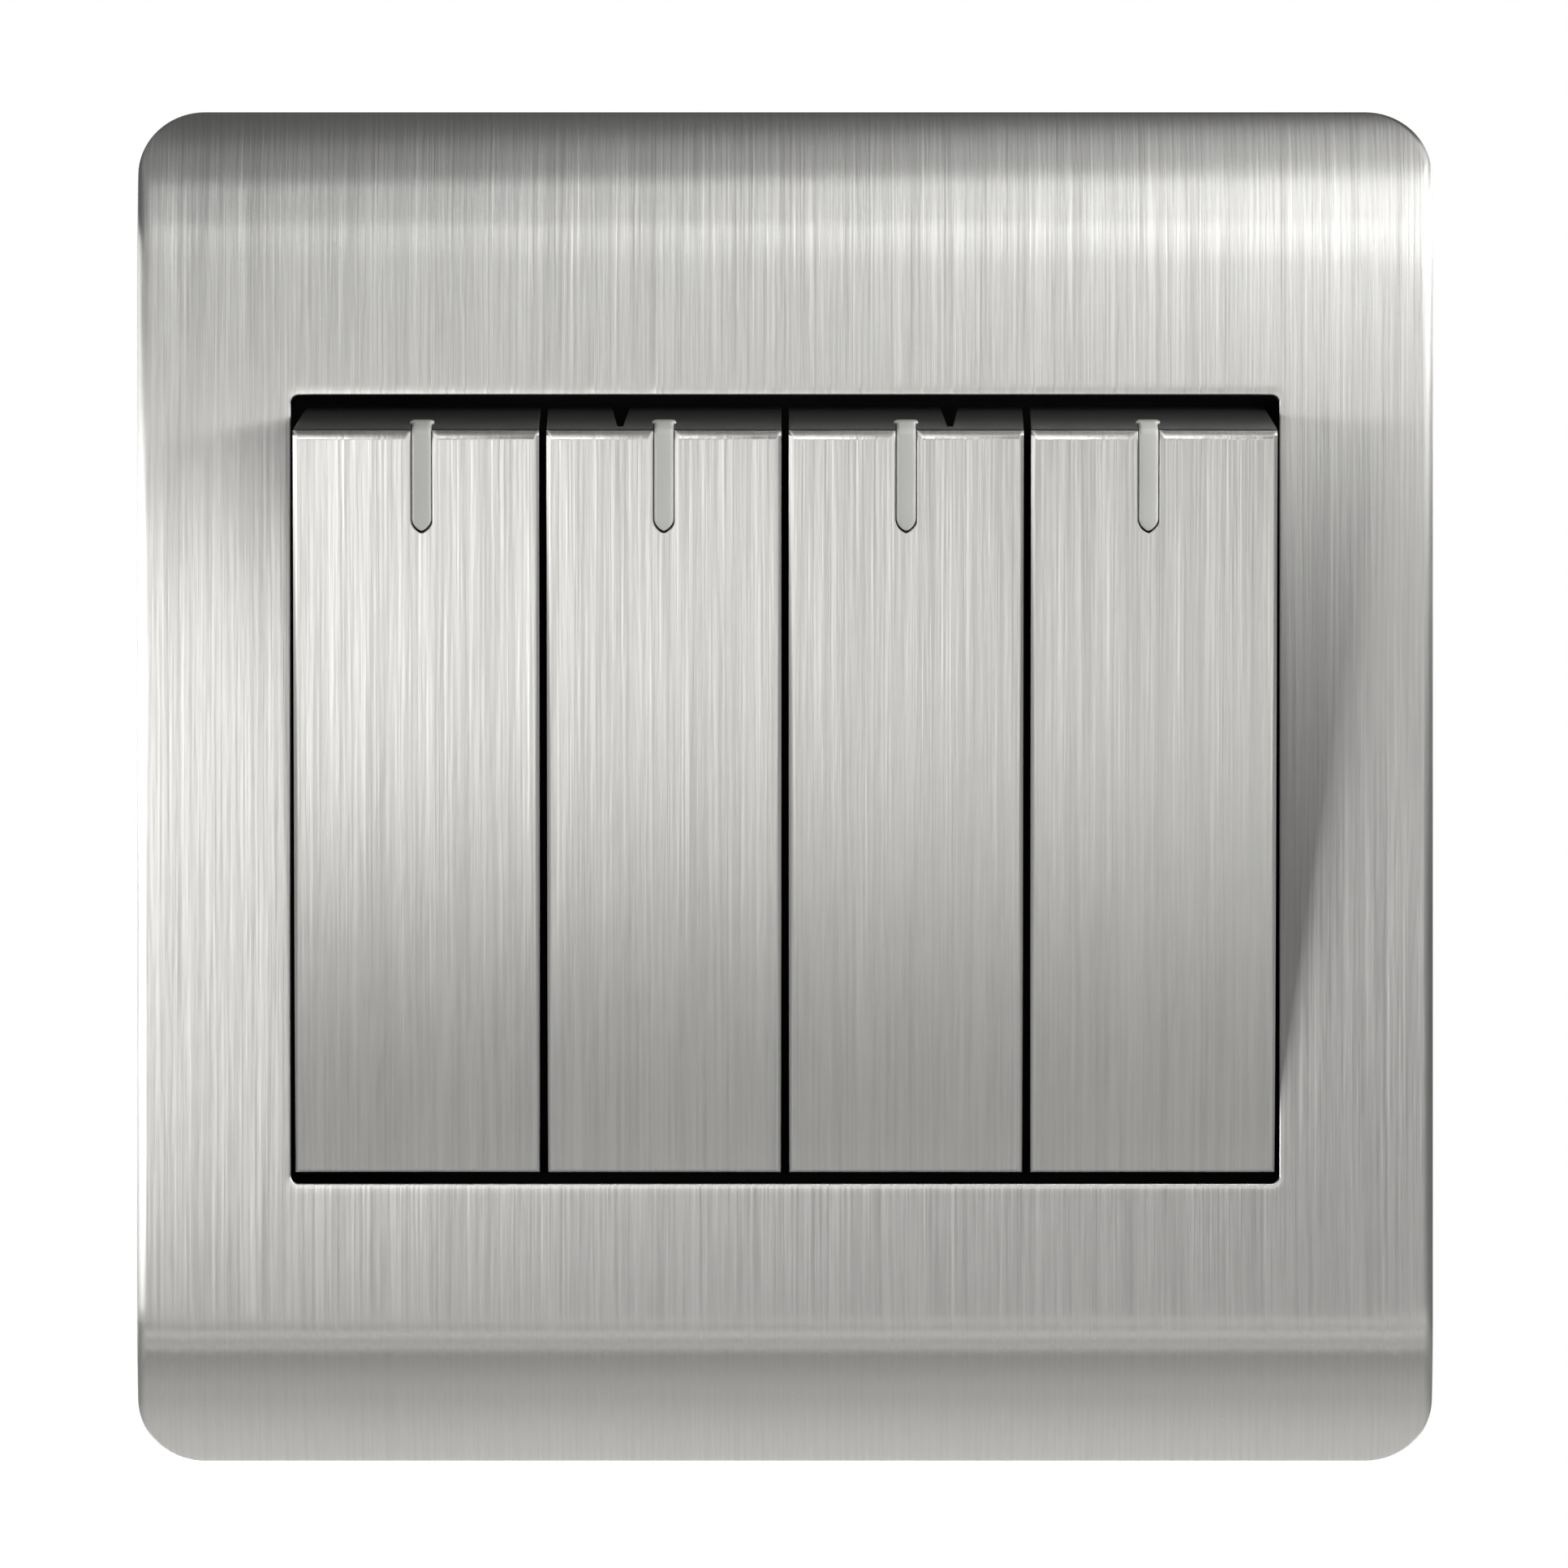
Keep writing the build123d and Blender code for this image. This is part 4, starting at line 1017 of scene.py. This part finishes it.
class LIGHTSWITCH_OT_stage(Operator):
    """Set the camera, the pale floor and the soft light"""

    bl_idname = "light_switch.stage"
    bl_label = "Stage"

    def execute(self, context):
        scene = context.scene
        settings = scene.light_switch
        stage = settings.stage
        lens = bpy.data.cameras.new("photo_camera")
        lens.sensor_width = SENSOR
        lens.lens = lens.sensor_width * stage.camera_distance / stage.frame_width
        camera = bpy.data.objects.new("photo_camera", lens)
        scene.collection.objects.link(camera)
        camera.location = (stage.aim_x, -settings.plate.depth - stage.camera_distance, stage.aim_z)
        camera.rotation_euler = (math.pi / 2, 0.0, 0.0)
        scene.camera = camera
        scene.view_settings.view_transform = "Standard"

        level = -settings.plate.height / 2 - stage.floor_drop
        mesh = bpy.data.meshes.new("floor")
        corners = [(x * FLOOR_HALF, y * FLOOR_HALF, level) for x, y in ((-1, -1), (1, -1), (1, 1), (-1, 1))]
        mesh.from_pydata(corners, [], [(0, 1, 2, 3)])
        floor = bpy.data.objects.new("floor", mesh)
        scene.collection.objects.link(floor)
        material, tree, shader = new_material("pale_floor")
        shader.inputs["Base Color"].default_value = (*stage.floor_tint, 1.0)
        shader.inputs["Roughness"].default_value = 0.9
        shader.inputs["Emission Color"].default_value = (*stage.floor_tint, 1.0)
        seen = put(tree, "ShaderNodeLightPath").outputs["Is Camera Ray"]
        glow = between(tree, seen, stage.floor_glow, stage.floor_seen)
        tree.links.new(glow, shader.inputs["Emission Strength"])
        mesh.materials.append(material)

        world = bpy.data.worlds.new("studio")
        scene.world = world
        world.use_nodes = True
        tree = world.node_tree
        room = tree.nodes["Background"]
        room.inputs["Color"].default_value = (1.0, 1.0, 1.0, 1.0)
        room.inputs["Strength"].default_value = stage.ambient
        white = put(tree, "ShaderNodeBackground", {"Color": (1.0, 1.0, 1.0, 1.0), "Strength": 1.0})
        path = put(tree, "ShaderNodeLightPath")
        mix = put(
            tree,
            "ShaderNodeMixShader",
            links={0: path.outputs["Is Camera Ray"], 1: room.outputs[0], 2: white.outputs[0]},
        )
        tree.links.new(mix.outputs[0], tree.nodes["World Output"].inputs["Surface"])

        for lamp in LAMPS:
            soft_box(*lamp)
        return {"FINISHED"}


class LIGHTSWITCH_PT_panel(Panel):
    """Lists the pieces and the stage in the 3D view's sidebar"""

    bl_idname = "LIGHTSWITCH_PT_panel"
    bl_label = "Light switch"
    bl_space_type = "VIEW_3D"
    bl_region_type = "UI"
    bl_category = "Light switch"

    def draw(self, context):
        settings = context.scene.light_switch
        for operator in OPERATORS:
            self.layout.operator(operator.bl_idname)
        for group in (settings.plate, settings.rocker, settings.spring, settings.finish, settings.stage):
            box = self.layout.box()
            for key in group.__annotations__:
                box.prop(group, key)


OPERATORS = (
    LIGHTSWITCH_OT_face_plate,
    LIGHTSWITCH_OT_rocker_caps,
    LIGHTSWITCH_OT_light_pipes,
    LIGHTSWITCH_OT_mouldings,
    LIGHTSWITCH_OT_live_parts,
    LIGHTSWITCH_OT_plunger_springs,
    LIGHTSWITCH_OT_stage,
)
CLASSES = (
    PlateSizes,
    RockerSizes,
    SpringSizes,
    Finishes,
    StageSettings,
    SwitchSettings,
    *OPERATORS,
    LIGHTSWITCH_PT_panel,
)


def register():
    for cls in CLASSES:
        bpy.utils.register_class(cls)
    bpy.types.Scene.light_switch = PointerProperty(type=SwitchSettings)


def unregister():
    del bpy.types.Scene.light_switch
    for cls in reversed(CLASSES):
        bpy.utils.unregister_class(cls)


def main():
    """Register and build every piece in order."""
    register()
    bpy.ops.light_switch.face_plate()
    bpy.ops.light_switch.rocker_caps()
    bpy.ops.light_switch.light_pipes()
    bpy.ops.light_switch.mouldings()
    bpy.ops.light_switch.live_parts()
    bpy.ops.light_switch.plunger_springs()
    bpy.ops.light_switch.stage()


if __name__ == "__main__":
    main()
